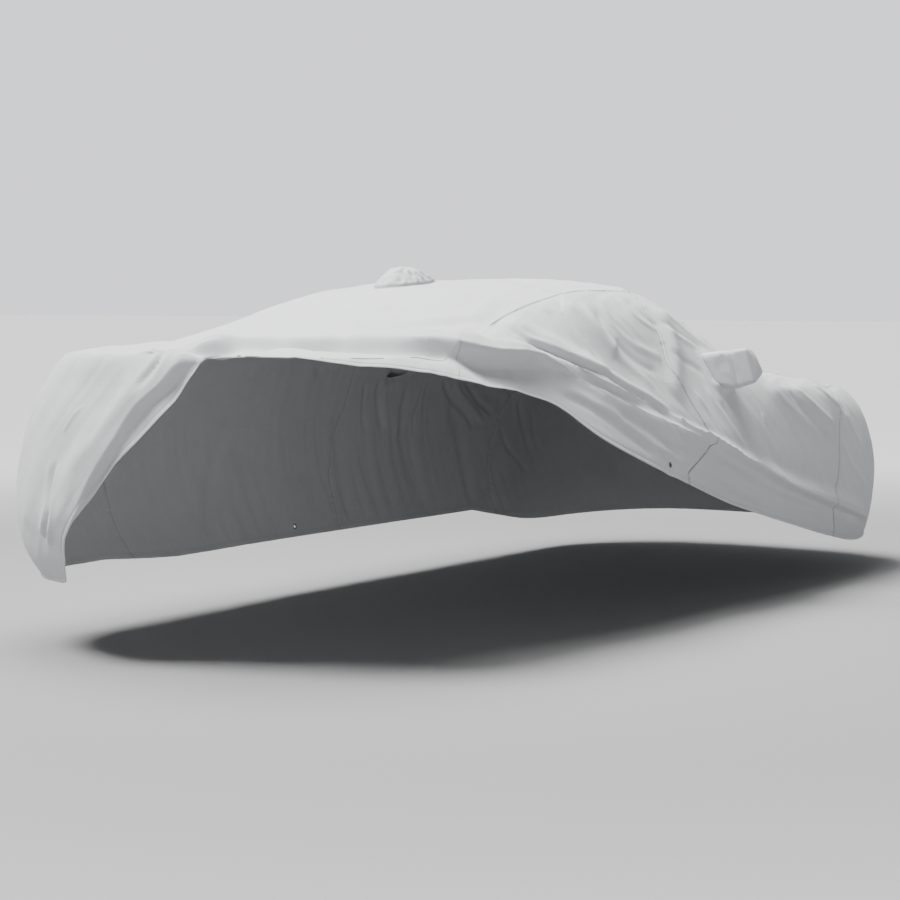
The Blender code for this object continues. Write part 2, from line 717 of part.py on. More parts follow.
def makeEyelet(sheet, panels, side):
    """A rolled ring through its strip, with the hole that it lines."""
    name = "right" if side > 0 else "left"
    place = sheet.stripPlace[side]
    front = flangeThickness + clothClearance
    back = -clothThickness - clothClearance - flangeThickness
    profile = ((eyeletHole, front), (eyeletFlange, front), (eyeletFlange, clothClearance),
               (eyeletBarrel, clothClearance), (eyeletBarrel, back + flangeThickness),
               (eyeletFlange, back + flangeThickness), (eyeletFlange, back), (eyeletHole, back))
    turned(name + "_eyelet", profile, place, eyeletColour)
    hole = eyeletBarrel + seamGap
    angles = [math.tau * k / roundSteps for k in range(roundSteps)]
    outline = [(hole * math.cos(angle), hole * math.sin(angle)) for angle in angles]
    points = [place @ Vector((x, y, z)) for z in (-holeCutterHalf, holeCutterHalf) for x, y in outline]
    faces = [tuple(face) for face in ringFaces(2, roundSteps, False)]
    faces += [tuple(reversed(range(roundSteps))), tuple(range(roundSteps, 2 * roundSteps))]
    cutter = makeObject(name + "_hole_cutter", [tuple(point) for point in points], faces, clothColour)
    cutFrom(panels[name + "_eyelet_strip"], cutter)


sheet = Sheet()
panels = makePanels(sheet)
everyFace = [face for faces in sheet.cells.values() for face in faces]
surface = BVHTree.FromPolygons([tuple(point) for point in sheet.points], everyFace)
for side in (1, -1):
    makeMirrorPocket(panels, side, surface)
    makeEyelet(sheet, panels, side)
makeAntennaPocket(panels, surface)
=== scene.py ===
# A fitted outdoor cover with its right rear quarter lifted: cloth, seams, pockets and eyelets.
# Lengths are metres, +X is the right side and +Y the nose. Heights in the tables are taken from
# the floor, and every finished mesh is moved to the rest point under the roof.

import math

import bmesh
import bpy
import numpy as np
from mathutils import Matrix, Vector, kdtree, noise
from mathutils.bvhtree import BVHTree


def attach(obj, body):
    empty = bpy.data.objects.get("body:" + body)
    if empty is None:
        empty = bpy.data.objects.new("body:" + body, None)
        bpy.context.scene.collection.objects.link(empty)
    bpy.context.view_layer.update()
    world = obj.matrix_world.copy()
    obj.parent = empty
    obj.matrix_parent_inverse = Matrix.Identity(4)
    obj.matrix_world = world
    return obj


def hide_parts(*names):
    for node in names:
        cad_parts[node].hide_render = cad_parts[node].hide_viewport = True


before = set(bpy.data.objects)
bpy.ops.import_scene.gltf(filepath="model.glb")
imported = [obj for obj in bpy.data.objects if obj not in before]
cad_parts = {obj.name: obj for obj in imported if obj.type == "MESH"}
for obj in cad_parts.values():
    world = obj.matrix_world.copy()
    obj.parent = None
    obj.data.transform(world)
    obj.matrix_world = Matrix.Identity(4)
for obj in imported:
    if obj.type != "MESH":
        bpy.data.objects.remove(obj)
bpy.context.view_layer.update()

restPoint = np.array((0.0, -0.10, 1.3905))
rng = np.random.default_rng(11)

# ---- the shape of the whole cloth

cloth = {
    "thickness": 0.0025,
    "topCells": 92,  # fine cells from roof edge to roof edge
    "sideFiner": 10,  # fine cells in each of the twelve rows down a side
    "step": 0.0085,  # fine cells along the sides, round the tail and round the nose
    "tailStep": 0.012,
    "noseStep": 0.014,
    "seamLine": 0.0055,  # an extra row of points this far from each seam, where it is stitched
    "fellRows": (0.004, 0.010, 0.0135),  # extra rows on the side to which a seam is turned over
    "hemRows": (0.030, 0.022, 0.017, 0.013, 0.009, 0.005, 0.0015),  # extra rows along the hem
    "seamGap": 0.0003,
}

sideRows = 12  # coarse rows down a side
bandRows = 5  # of them in the band along the hem
bandWidth = 0.25
windowRows = 5  # of them above the seam between window and quarter panels

# the cross seams, as places along y
seamPlaces = {"deck": -1.56, "roof": -0.58, "door": -0.06, "cowl": 0.95, "front": 1.32}
edgeSeamStart = -1.19  # the seams along both edges of the top start here
tailStartY = -1.70
noseStartY = 1.50
tailTipX = 0.21
tailRound = 3.0
noseRound = 2.5
crownPower = 2.6
crownWidth = 0.35
tailBow = 0.14  # the top's last rows bow forwards in the middle
bowWidth = 0.60
bowStartY = -2.25
lowRise = 0.105
lowInset = 0.006
edgeInside = 0.12
edgeOver = 0.035
lineSamples = 240
shortestSkirt = 0.004
shortestHalf = 0.1
tailHemSlack = 0.02
hemRowsShare = 0.35  # the hem's extra rows take no more of the band than this
stitchShare = 0.6  # and the row at the edge's seam no more of a cell
capSamples = 400
fullEdgeSeam = 0.45  # the edge seams are at full strength from this half width on

sectionColumns = ("y", "edgeX", "edgeZ", "beltX", "beltZ", "waistX", "waistZ", "hemX", "hemZ")
sectionRows = (
    (-1.70, 0.745, 1.118, 0.862, 1.000, 0.957, 0.780, 0.893, 0.270),
    (-1.40, 0.665, 1.165, 0.870, 0.990, 0.958, 0.790, 0.890, 0.250),
    (-1.10, 0.605, 1.240, 0.855, 0.985, 0.957, 0.770, 0.900, 0.230),
    (-0.70, 0.575, 1.320, 0.840, 0.980, 0.957, 0.720, 0.920, 0.210),
    (-0.20, 0.565, 1.347, 0.840, 0.970, 0.958, 0.690, 0.930, 0.200),
    (0.08, 0.552, 1.330, 0.840, 0.965, 0.958, 0.690, 0.930, 0.190),
    (0.42, 0.592, 1.203, 0.845, 0.960, 0.957, 0.690, 0.930, 0.180),
    (0.72, 0.680, 1.025, 0.855, 0.950, 0.955, 0.690, 0.925, 0.170),
    (0.95, 0.770, 0.972, 0.880, 0.920, 0.955, 0.690, 0.920, 0.160),
    (1.20, 0.810, 0.945, 0.895, 0.890, 0.955, 0.690, 0.910, 0.150),
    (1.50, 0.805, 0.893, 0.885, 0.815, 0.945, 0.650, 0.905, 0.140),
)
# how far each level reaches past the end of the side, and its height at the tip
capRows = (
    ("edge", 0.700, 1.131, 0.555, 0.760),
    ("belt", 0.735, 1.000, 0.633, 0.680),
    ("waist", 0.778, 0.760, 0.716, 0.530),
    ("low", 0.776, 0.385, 0.722, 0.360),
    ("hem", 0.720, 0.285, 0.722, 0.190),
)
# the middle line of the top, y and z
crownRows = (
    (-2.40, 1.134), (-2.20, 1.148), (-2.00, 1.157), (-1.70, 1.175), (-1.40, 1.262), (-1.10, 1.347),
    (-0.70, 1.384), (-0.20, 1.394), (0.15, 1.392), (0.40, 1.340), (0.75, 1.130), (1.00, 1.010),
    (1.30, 0.970), (1.70, 0.910), (1.95, 0.840), (2.06, 0.765),
)
# the right hem, y and z
rightHemRows = (
    (-2.42, 1.124), (-2.26, 1.098), (-2.12, 1.087), (-1.87, 1.056), (-1.56, 1.013), (-1.40, 0.992),
    (-1.23, 0.943), (-0.91, 0.784), (-0.58, 0.662), (-0.24, 0.559), (0.10, 0.459), (0.41, 0.386),
    (0.72, 0.318), (1.25, 0.210), (1.60, 0.156), (1.95, 0.165), (2.20, 0.190),
)
leftHemZ = 0.24
# the slanting hem across the tail, x and z
tailHemRows = (
    (-0.523, 0.280), (-0.430, 0.370), (-0.377, 0.456), (-0.290, 0.550), (-0.150, 0.735),
    (-0.060, 0.815), (0.100, 0.970), (0.210, 1.140),
)


def smoothStep(t):
    t = np.clip(t, 0.0, 1.0)
    return t * t * (3 - 2 * t)


def throughPoints(knots, values, at):
    # smooth curve through the values at the knots
    knots = np.asarray(knots, float)
    values = np.asarray(values, float)
    at = np.clip(np.asarray(at, float), knots[0], knots[-1])
    flat = values.reshape(len(knots), -1)
    steps = np.diff(knots)[:, None]
    rise = np.diff(flat, axis=0) / steps
    slopes = np.empty_like(flat)
    slopes[0] = rise[0]
    slopes[-1] = rise[-1]
    slopes[1:-1] = (rise[:-1] * steps[1:] + rise[1:] * steps[:-1]) / (steps[1:] + steps[:-1])
    index = np.clip(np.searchsorted(knots, at, side="right") - 1, 0, len(knots) - 2)
    width = np.diff(knots)[index]
    t = ((at - knots[index]) / width)[..., None]
    width = width[..., None]
    result = (
        (2 * t**3 - 3 * t**2 + 1) * flat[index]
        + (t**3 - 2 * t**2 + t) * width * slopes[index]
        + (3 * t**2 - 2 * t**3) * flat[index + 1]
        + (t**3 - t**2) * width * slopes[index + 1]
    )
    return result.reshape(at.shape + values.shape[1:])


def alongLine(points):
    # running length of a line of points
    return np.concatenate([[0.0], np.cumsum(np.linalg.norm(np.diff(points, axis=0), axis=1))])


def tableCurve(rows, at):
    rows = np.array(rows)
    return throughPoints(rows[:, 0], rows[:, 1], at)


def sectionAt(y):
    values = np.array(sectionRows)
    edgeX, edgeZ, beltX, beltZ, waistX, waistZ, hemX, hemZ = throughPoints(values[:, 0], values[:, 1:], y)
    return {
        "edge": (edgeX, edgeZ),
        "belt": (beltX, beltZ),
        "waist": (waistX, waistZ),
        "low": (waistX - lowInset, hemZ + lowRise),
        "hem": (hemX, hemZ),
    }


def railsAt(station, side):
    # the five levels of one side: edge, belt, waist, low and hem
    zone, value = station
    if zone == "side":
        return np.array([(side * x, value, z) for x, z in sectionAt(value).values()])
    start = tailStartY if zone == "tail" else noseStartY
    roundness = tailRound if zone == "tail" else noseRound
    section = sectionAt(start)
    across = max(math.cos(value), 0.0) ** (2 / roundness)
    along = max(math.sin(value), 0.0) ** (2 / roundness)
    points = []
    for rail, tailReach, tailZ, noseReach, noseZ in capRows:
        x, z = section[rail]
        middle = tailTipX if zone == "tail" else 0.0
        reach = -tailReach if zone == "tail" else noseReach
        tipZ = tailZ if zone == "tail" else noseZ
        points.append((middle + (side * x - middle) * across, start + reach * along,
                       z + (tipZ - z) * (1 - across)))
    return np.array(points)


def hemHeight(station, side, waist):
    height = float(tableCurve(rightHemRows, waist[1]))
    if side > 0:
        return height
    if station[0] != "tail" or waist[0] < tailHemRows[0][0] - tailHemSlack:
        return min(leftHemZ, height)
    knots = np.array(tailHemRows)
    return float(np.interp(waist[0], knots[:, 0], knots[:, 1]))


def skirtColumn(station, side):
    # points down one side at a station, from the roof edge to the hem that shows
    rails = railsAt(station, side)
    outward = rails[2] - rails[0]
    outward[2] = 0.0
    length = np.linalg.norm(outward)
    outward = outward / length if length > 1e-6 else np.array((0.0, 1.0, 0.0))
    control = np.vstack([rails[0] - edgeInside * outward + np.array((0.0, 0.0, edgeOver)), rails])
    knots = alongLine(control)
    line = throughPoints(knots, control, np.linspace(knots[1], knots[-1], lineSamples))
    finer = cloth["sideFiner"]
    cut = hemHeight(station, side, rails[2])
    below = np.flatnonzero(line[:, 2] < cut)
    if len(below):
        last = max(below[0], 1)
        before, after = line[last - 1], line[last]
        share = np.clip((before[2] - cut) / max(before[2] - after[2], 1e-9), 0.0, 1.0)
        line = np.vstack([line[:last], before + share * (after - before)])
    lengths = alongLine(line)
    if lengths[-1] < shortestSkirt:
        return np.repeat(line[:1], sideRows * finer + 2 + len(cloth["hemRows"]), axis=0)
    band = min(bandWidth, 0.5 * lengths[-1]) / lengths[-1]
    hemRows = np.array(cloth["hemRows"])
    hemPlaces = 1.0 - hemRows * min(1 / lengths[-1], hemRowsShare * band / hemRows[0])
    upper = np.linspace(0.0, 1.0 - band, (sideRows - bandRows) * finer + 1)
    lower = np.linspace(1.0 - band, hemPlaces[0], bandRows * finer + 1)[1:-1]
    stitched = min(cloth["seamLine"] / lengths[-1], stitchShare * upper[1])
    shares = np.concatenate([[0.0, stitched], upper[1:], lower, hemPlaces, [1.0]]) * lengths[-1]
    return np.stack([np.interp(shares, lengths, line[:, axis]) for axis in range(3)], axis=1)


def topRow(left, right):
    middle = (left + right) / 2
    half = (right - left) / 2
    near = 1 - cloth["seamLine"] / max(half[0], shortestHalf)
    share = np.unique(np.concatenate([np.linspace(-1.0, 1.0, cloth["topCells"] + 1), (-near, near)]))
    points = middle + share[:, None] * half
    bow = tailBow * math.sin(min(half[0] / bowWidth, 1.0) * math.pi / 2)
    bow *= 1 - smoothStep((middle[1] - bowStartY) / (tailStartY - bowStartY))
    points[:, 1] += bow * (1 - share**2)
    crown = tableCurve(crownRows, points[:, 1])
    rise = (crown - middle[2]) * smoothStep(half[0] / crownWidth)
    points[:, 2] += rise * (1 - np.abs(share) ** crownPower)
    return points


def capAngles(zone, step):
    angles = np.linspace(0.0, math.pi / 2, capSamples)
    lengths = alongLine(np.array([railsAt((zone, angle), -1)[2] for angle in angles]))
    return np.interp(np.linspace(0.0, lengths[-1], round(lengths[-1] / step) + 1), lengths, angles)


def makeStations():
    stations = [("tail", angle) for angle in capAngles("tail", cloth["tailStep"])[:0:-1]]
    stops = [tailStartY, noseStartY]
    for place in seamPlaces.values():
        stops += [place - cloth["seamLine"], place] + [place + row for row in cloth["fellRows"]]
    stops.sort()
    for start, end in zip(stops[:-1], stops[1:]):
        count = max(1, round((end - start) / cloth["step"]))
        stations += [("side", y) for y in np.linspace(start, end, count + 1)[:-1]]
    return stations + [("nose", angle) for angle in capAngles("nose", cloth["noseStep"])]


def stationAt(stations, y):
    for i, (zone, value) in enumerate(stations):
        if zone == "side" and abs(value - y) < 1e-6:
            return i
    raise ValueError(f"no station at {y}")


# ---- where the cross seams wander from straight, as height and shift towards the nose

seamWaves = {
    "deck": {
        "reach": 0.40,
        "right": ((0.99, -0.20), (1.06, -0.125), (1.11, -0.06), (1.14, -0.03), (1.18, 0.0)),
        "left": ((0.20, 0.04), (0.60, -0.05), (1.00, 0.0)),
    },
    "door": {
        "reach": 0.45,
        "right": (
            (0.55, -0.185), (0.60, -0.12), (0.63, -0.075), (0.66, -0.035), (0.70, 0.005), (0.72, 0.045),
            (0.76, 0.070), (0.85, 0.022), (0.93, -0.010), (0.98, -0.058), (1.01, -0.070),
            (1.06, -0.055), (1.13, -0.018), (1.18, 0.003), (1.26, 0.010), (1.31, 0.050),
        ),
        "left": ((0.20, 0.02), (0.50, -0.03), (0.80, 0.02), (1.00, -0.03), (1.31, 0.04)),
    },
    "front": {
        "reach": 0.62,
        "right": (
            (0.15, -0.01), (0.24, -0.03), (0.29, -0.09), (0.33, -0.13), (0.37, -0.15), (0.42, -0.11),
            (0.47, -0.075), (0.55, -0.045), (0.62, -0.03), (0.73, 0.02), (0.81, 0.07), (0.90, 0.13),
        ),
        "left": ((0.20, -0.03), (0.50, -0.05), (0.73, 0.02), (0.90, 0.12)),
    },
}
seamFollow = 22  # columns of the top that follow a seam's bend at the roof edge


def bendSeams(grid, stations, leftEdge, rightEdge):
    # slides the points of each row along the cloth, so that a seam takes its own line
    for name, wave in seamWaves.items():
        seam = stationAt(stations, seamPlaces[name])
        atEdge = {}
        top = sorted(range(leftEdge + 1, rightEdge), key=lambda j: min(j - leftEdge, rightEdge - j))
        for j in [*range(leftEdge + 1), *range(rightEdge, grid.shape[1]), *top]:
            line = grid[:, j]
            lengths = alongLine(line)
            side = "left" if j < (leftEdge + rightEdge) / 2 else "right"
            inward = min(j - leftEdge, rightEdge - j)
            if inward > 0:  # the top's nearest columns follow
                shift = atEdge[side] * (1 - smoothStep(inward / seamFollow))
            else:
                rows = np.array(wave[side])
                shift = np.interp(line[seam, 2], rows[:, 0], rows[:, 1])
            if inward == 0:
                atEdge[side] = shift
            if shift == 0:
                continue
            away = np.abs(lengths - lengths[seam])
            moved = np.clip(lengths + shift * (1 - smoothStep(away / wave["reach"])), 0, lengths[-1])
            grid[:, j] = np.stack([np.interp(moved, lengths, line[:, axis]) for axis in range(3)], axis=1)
    return grid


edgeEase = {"columns": 26, "rounds": 30, "from": -2.30, "to": -1.15, "fade": 0.18, "ends": 0.4,
            "pull": 0.5}


def easeEdge(grid, edge):
    # rounds the bend between the deck and its skirt, as far as the cloth is lifted there
    near = slice(edge - edgeEase["columns"], edge + edgeEase["columns"])
    y = grid[:, near, 1]
    share = smoothStep((y - edgeEase["from"]) / edgeEase["fade"])
    share = share * smoothStep((edgeEase["to"] - y) / edgeEase["fade"])
    ends = np.abs(np.linspace(-1, 1, y.shape[1]))
    share = (share * smoothStep((1 - ends) / edgeEase["ends"]))[:, :, None]
    for _ in range(edgeEase["rounds"]):
        patch = grid[:, near]
        before, after = np.roll(patch, 1, axis=1), np.roll(patch, -1, axis=1)
        gapBefore = np.linalg.norm(patch - before, axis=2, keepdims=True) + 1e-9
        gapAfter = np.linalg.norm(after - patch, axis=2, keepdims=True) + 1e-9
        between = (before * gapAfter + after * gapBefore) / (gapBefore + gapAfter)
        weak = np.minimum(gapBefore, gapAfter) < 1e-6
        grid[:, near] = np.where(weak, patch, patch + edgeEase["pull"] * share * (between - patch))
    return grid


# ---- folds: a width, a height and a route each, from the tail forwards or from the top down

foldEnds = {"fadeIn": 0.16, "fadeOut": 0.12, "longest": 0.20}
foldUneven = {"height": 0.10, "length": 0.55, "shift": 700, "second": 2.7}
foldReach = {"widths": 5, "more": 0.03, "through": 0.12}  # how far from its route a fold acts
# how strongly each kind of the finer folds shows
fineGain = {"lap": 1.0, "fall": 1.0, "ridge": 0.60, "crease": 0.85, "groove": 0.80}
creaseShape = {"sharp": 0.7, "foot": 2.2}
grooveShape = {"sharp": 0.8, "foot": 2.2, "lip": 0.45, "lipAway": 1.9}
lapShape = {"above": 0.62, "abovePower": 1.4, "below": 1.20, "grooveAway": 1.1, "grooveWidth": 0.6,
            "grooveDepth": 0.28}
fallShape = {"inside": 3.0, "depth": 0.9, "recover": 2.6}

# the folds that the solids have too; a height may change along its fold
foldRows = (
    ("lap", 0.058, (0.030, 0.036, 0.036, 0.034, 0.028, 0.024, 0.020), (
        (0.20, -1.78, 1.200), (0.58, -1.66, 1.185), (0.71, -1.52, 1.165), (0.78, -1.28, 1.115),
        (0.85, -1.00, 1.060), (0.93, -0.74, 0.965), (0.95, -0.50, 0.885), (0.957, -0.02, 0.712),
        (0.955, 0.80, 0.475), (0.92, 1.62, 0.305),
    )),
    ("ridge", 0.060, 0.022, ((0.62, -1.12, 1.252), (0.71, -0.98, 1.140), (0.84, -0.62, 1.000))),
    ("ridge", 0.058, 0.015, ((0.59, -0.67, 1.292), (0.66, -0.58, 1.190), (0.76, -0.48, 1.090))),
    ("ridge", 0.060, 0.018, ((0.60, 0.10, 1.270), (0.74, 0.00, 1.090), (0.88, -0.20, 0.900))),
    ("ridge", 0.055, 0.012, ((0.88, 0.66, 0.945), (0.945, 1.07, 0.815), (0.955, 1.28, 0.715))),
    ("ridge", 0.055, 0.012, ((0.50, -2.10, 1.130), (0.10, -2.20, 1.140), (-0.30, -2.10, 1.150))),
    ("ridge", 0.075, 0.018, ((0.02, -2.38, 1.070), (-0.20, -2.43, 0.880), (-0.52, -2.42, 0.420))),
    ("ridge", 0.075, 0.009, ((-0.32, -2.40, 1.000), (-0.57, -2.40, 0.700), (-0.68, -2.38, 0.450))),
)

# finer folds, each with its width, height and route
detailRows = (
    # the fold that follows the lifted hem: up the tail, across the deck and on to the nose
    ("fall", 0.034, 0.016, (
        (-0.42, -2.46, 0.42), (-0.33, -2.48, 0.53), (-0.24, -2.48, 0.70), (-0.15, -2.47, 0.82),
        (-0.06, -2.45, 0.94), (0.07, -2.43, 1.05), (0.12, -2.41, 1.10), (0.15, -2.33, 1.14))),
    ("fall", 0.045, 0.034, (
        (0.05, -2.40, 1.12), (0.10, -2.29, 1.15), (0.17, -2.16, 1.15), (0.27, -2.02, 1.16),
        (0.38, -1.91, 1.16), (0.50, -1.80, 1.15), (0.60, -1.72, 1.15), (0.69, -1.63, 1.14),
        (0.76, -1.50, 1.12), (0.80, -1.30, 1.11), (0.82, -1.10, 1.08))),
    ("fall", 0.032, 0.012, (
        (0.76, -1.34, 1.12), (0.82, -1.10, 1.08), (0.83, -0.90, 1.03), (0.84, -0.72, 0.98),
        (0.87, -0.48, 0.92), (0.92, -0.27, 0.84), (0.97, -0.02, 0.73), (1.00, 0.24, 0.64),
        (1.00, 0.64, 0.51), (0.99, 1.07, 0.40), (0.95, 1.58, 0.29), (0.90, 1.80, 0.24))),
    ("crease", 0.013, 0.010, (
        (0.50, -1.80, 1.15), (0.60, -1.72, 1.15), (0.69, -1.63, 1.14), (0.76, -1.50, 1.12),
        (0.80, -1.30, 1.11), (0.82, -1.10, 1.08), (0.82, -0.85, 1.02), (0.85, -0.57, 0.94),
        (0.89, -0.37, 0.88), (0.95, -0.16, 0.78), (0.98, 0.08, 0.69), (1.00, 0.43, 0.57),
        (0.99, 0.90, 0.44), (0.95, 1.50, 0.31))),
    # the dark line between that fold and the window panel's folds
    ("groove", 0.015, 0.020, (
        (0.67, -1.16, 1.20), (0.72, -1.12, 1.16), (0.76, -1.02, 1.12), (0.79, -0.92, 1.08),
        (0.82, -0.78, 1.04), (0.83, -0.64, 1.00), (0.85, -0.52, 0.94), (0.89, -0.40, 0.89),
        (0.93, -0.24, 0.82))),
    ("groove", 0.012, -0.006, (
        (0.60, -1.18, 1.23), (0.69, -1.16, 1.18), (0.74, -1.09, 1.14), (0.77, -1.03, 1.10),
        (0.82, -1.01, 1.06))),
    ("ridge", 0.016, 0.008, (
        (0.61, -1.13, 1.24), (0.69, -1.10, 1.20), (0.74, -1.05, 1.15), (0.78, -0.98, 1.11))),
    # down the right window panel
    ("crease", 0.011, 0.011, (
        (0.62, -0.74, 1.29), (0.69, -0.72, 1.23), (0.74, -0.71, 1.16), (0.79, -0.68, 1.09))),
    ("ridge", 0.020, -0.008, (
        (0.62, -0.80, 1.28), (0.68, -0.79, 1.22), (0.73, -0.77, 1.15), (0.78, -0.74, 1.09))),
    ("ridge", 0.026, 0.014, (
        (0.61, -0.51, 1.31), (0.69, -0.56, 1.24), (0.75, -0.55, 1.16), (0.79, -0.48, 1.08),
        (0.82, -0.40, 1.02), (0.86, -0.32, 0.94))),
    ("ridge", 0.020, -0.011, (
        (0.64, -0.46, 1.29), (0.72, -0.49, 1.20), (0.77, -0.43, 1.12), (0.80, -0.34, 1.05),
        (0.82, -0.21, 1.01))),
    ("ridge", 0.022, 0.011, (
        (0.63, -0.40, 1.30), (0.71, -0.42, 1.21), (0.76, -0.34, 1.14), (0.78, -0.23, 1.10),
        (0.80, -0.13, 1.07))),
    ("crease", 0.012, 0.010, (
        (0.61, -0.21, 1.32), (0.68, -0.20, 1.25), (0.71, -0.13, 1.21), (0.73, -0.06, 1.18))),
    ("ridge", 0.016, -0.008, (
        (0.61, -0.14, 1.31), (0.67, -0.12, 1.26), (0.70, -0.07, 1.22), (0.72, -0.02, 1.19))),
    # between the cross seam and the mirror pocket
    ("ridge", 0.020, 0.013, (
        (0.65, 0.06, 1.26), (0.67, 0.18, 1.21), (0.71, 0.29, 1.15), (0.75, 0.38, 1.09))),
    ("ridge", 0.016, -0.010, (
        (0.70, -0.02, 1.22), (0.71, 0.10, 1.18), (0.73, 0.22, 1.14), (0.76, 0.32, 1.08))),
    ("ridge", 0.018, 0.010, (
        (0.73, 0.00, 1.18), (0.74, 0.15, 1.14), (0.77, 0.25, 1.09), (0.81, 0.22, 1.06))),
    ("ridge", 0.018, -0.009, (
        (0.78, -0.06, 1.10), (0.80, 0.02, 1.06), (0.81, 0.12, 1.03), (0.83, 0.19, 0.99))),
    ("ridge", 0.018, 0.012, (
        (0.85, 0.14, 0.95), (0.88, 0.15, 0.88), (0.92, 0.20, 0.81), (0.95, 0.25, 0.74),
        (0.97, 0.29, 0.68))),
    ("crease", 0.014, 0.010, (
        (0.86, 0.02, 0.93), (0.91, 0.07, 0.83), (0.95, 0.11, 0.75), (0.98, 0.16, 0.69))),
    ("ridge", 0.020, -0.009, ((0.88, 0.21, 0.88), (0.93, 0.27, 0.78), (0.96, 0.33, 0.69))),
    ("crease", 0.014, 0.008, ((0.92, 0.55, 0.82), (0.94, 0.54, 0.74), (0.96, 0.57, 0.65))),
    ("ridge", 0.024, 0.008, (
        (0.88, 0.38, 0.88), (0.93, 0.44, 0.79), (0.96, 0.46, 0.70), (0.99, 0.43, 0.60))),
    # the fan below the hood panel's edge
    ("ridge", 0.018, 0.016, (
        (0.86, 0.71, 0.95), (0.91, 0.75, 0.89), (0.94, 0.86, 0.81), (0.95, 1.00, 0.73),
        (0.96, 1.10, 0.65))),
    ("ridge", 0.016, 0.016, (
        (0.89, 0.90, 0.92), (0.93, 1.00, 0.86), (0.96, 1.11, 0.79), (0.95, 1.25, 0.72))),
    ("crease", 0.014, 0.014, ((0.87, 1.18, 0.91), (0.90, 1.28, 0.86), (0.92, 1.40, 0.80))),
    ("ridge", 0.018, -0.014, (
        (0.90, 0.82, 0.91), (0.94, 0.93, 0.83), (0.95, 1.05, 0.76), (0.96, 1.17, 0.68))),
    ("ridge", 0.020, 0.014, (
        (0.90, 1.44, 0.79), (0.94, 1.52, 0.68), (0.95, 1.58, 0.60), (0.96, 1.64, 0.49))),
    ("ridge", 0.018, 0.013, (
        (0.95, 1.33, 0.66), (0.97, 1.42, 0.54), (0.96, 1.54, 0.46), (0.96, 1.62, 0.39))),
    ("crease", 0.014, 0.008, ((0.92, 1.60, 0.72), (0.94, 1.64, 0.62), (0.93, 1.70, 0.50))),
    # the band below the long fold
    ("ridge", 0.024, 0.010, (
        (0.86, -1.14, 0.99), (0.86, -1.06, 0.98), (0.87, -0.95, 0.95), (0.89, -0.85, 0.91),
        (0.91, -0.71, 0.85), (0.94, -0.58, 0.78), (0.96, -0.40, 0.70), (0.97, -0.22, 0.63))),
    ("ridge", 0.020, -0.011, (
        (0.87, -1.12, 0.96), (0.88, -1.00, 0.93), (0.90, -0.91, 0.90), (0.92, -0.78, 0.83),
        (0.94, -0.64, 0.76), (0.96, -0.50, 0.70))),
    ("ridge", 0.020, -0.012, (
        (0.90, -0.74, 0.88), (0.93, -0.52, 0.80), (0.95, -0.39, 0.72), (0.97, -0.27, 0.65))),
    ("ridge", 0.022, 0.010, (
        (0.97, -0.06, 0.65), (0.98, 0.19, 0.57), (0.98, 0.48, 0.48), (0.97, 0.78, 0.40),
        (0.97, 1.10, 0.33), (0.95, 1.40, 0.27), (0.90, 1.70, 0.22))),
    ("ridge", 0.018, -0.010, (
        (0.97, -0.02, 0.68), (0.98, 0.24, 0.59), (0.98, 0.53, 0.50), (0.97, 0.83, 0.42),
        (0.96, 1.14, 0.35))),
    ("ridge", 0.020, -0.007, (
        (0.97, -0.13, 0.62), (0.98, 0.14, 0.53), (0.97, 0.50, 0.42), (0.96, 0.87, 0.33),
        (0.95, 1.22, 0.26))),
    # the deck's slack cloth
    ("ridge", 0.045, 0.014, (
        (0.08, -1.50, 1.23), (0.30, -1.46, 1.23), (0.43, -1.38, 1.24), (0.49, -1.26, 1.25),
        (0.56, -1.14, 1.26))),
    ("ridge", 0.030, -0.012, (
        (0.20, -1.56, 1.20), (0.43, -1.47, 1.21), (0.52, -1.34, 1.22), (0.58, -1.20, 1.23))),
    ("ridge", 0.040, 0.010, (
        (-0.02, -1.60, 1.20), (0.09, -1.50, 1.23), (0.18, -1.36, 1.27), (0.25, -1.26, 1.30))),
    ("crease", 0.018, 0.010, (
        (-0.34, -1.74, 1.16), (-0.37, -1.60, 1.19), (-0.32, -1.54, 1.21), (-0.21, -1.53, 1.22))),
    ("crease", 0.016, 0.009, ((-0.18, -1.80, 1.16), (-0.19, -1.67, 1.18), (-0.12, -1.64, 1.19))),
    ("crease", 0.014, 0.009, ((0.52, -1.44, 1.21), (0.60, -1.41, 1.19), (0.66, -1.44, 1.17))),
    ("crease", 0.014, 0.009, ((0.58, -1.30, 1.21), (0.62, -1.38, 1.19), (0.68, -1.50, 1.16))),
    # the tail
    ("groove", 0.014, 0.011, (
        (0.26, -2.06, 1.16), (0.15, -2.21, 1.16), (0.09, -2.28, 1.15), (0.05, -2.37, 1.13),
        (0.02, -2.42, 1.09), (-0.02, -2.43, 1.04), (-0.06, -2.44, 0.99))),
    ("groove", 0.014, 0.017, (
        (-0.45, -2.44, 0.74), (-0.46, -2.44, 0.70), (-0.47, -2.45, 0.63), (-0.47, -2.46, 0.56),
        (-0.49, -2.45, 0.50), (-0.54, -2.42, 0.44))),
    ("crease", 0.009, 0.006, ((-0.33, -2.42, 0.94), (-0.38, -2.43, 0.89), (-0.42, -2.43, 0.84))),
    ("ridge", 0.030, 0.009, ((-0.30, -2.44, 0.80), (-0.34, -2.45, 0.66), (-0.42, -2.45, 0.50))),
    ("ridge", 0.030, -0.008, ((-0.12, -2.44, 1.04), (-0.20, -2.45, 0.93), (-0.27, -2.46, 0.80))),
    # the top's front slope, the hood panel, and the hidden left side and nose
    ("ridge", 0.040, 0.012, (
        (-0.56, 0.16, 1.29), (-0.20, 0.34, 1.33), (0.16, 0.52, 1.26), (0.46, 0.72, 1.10))),
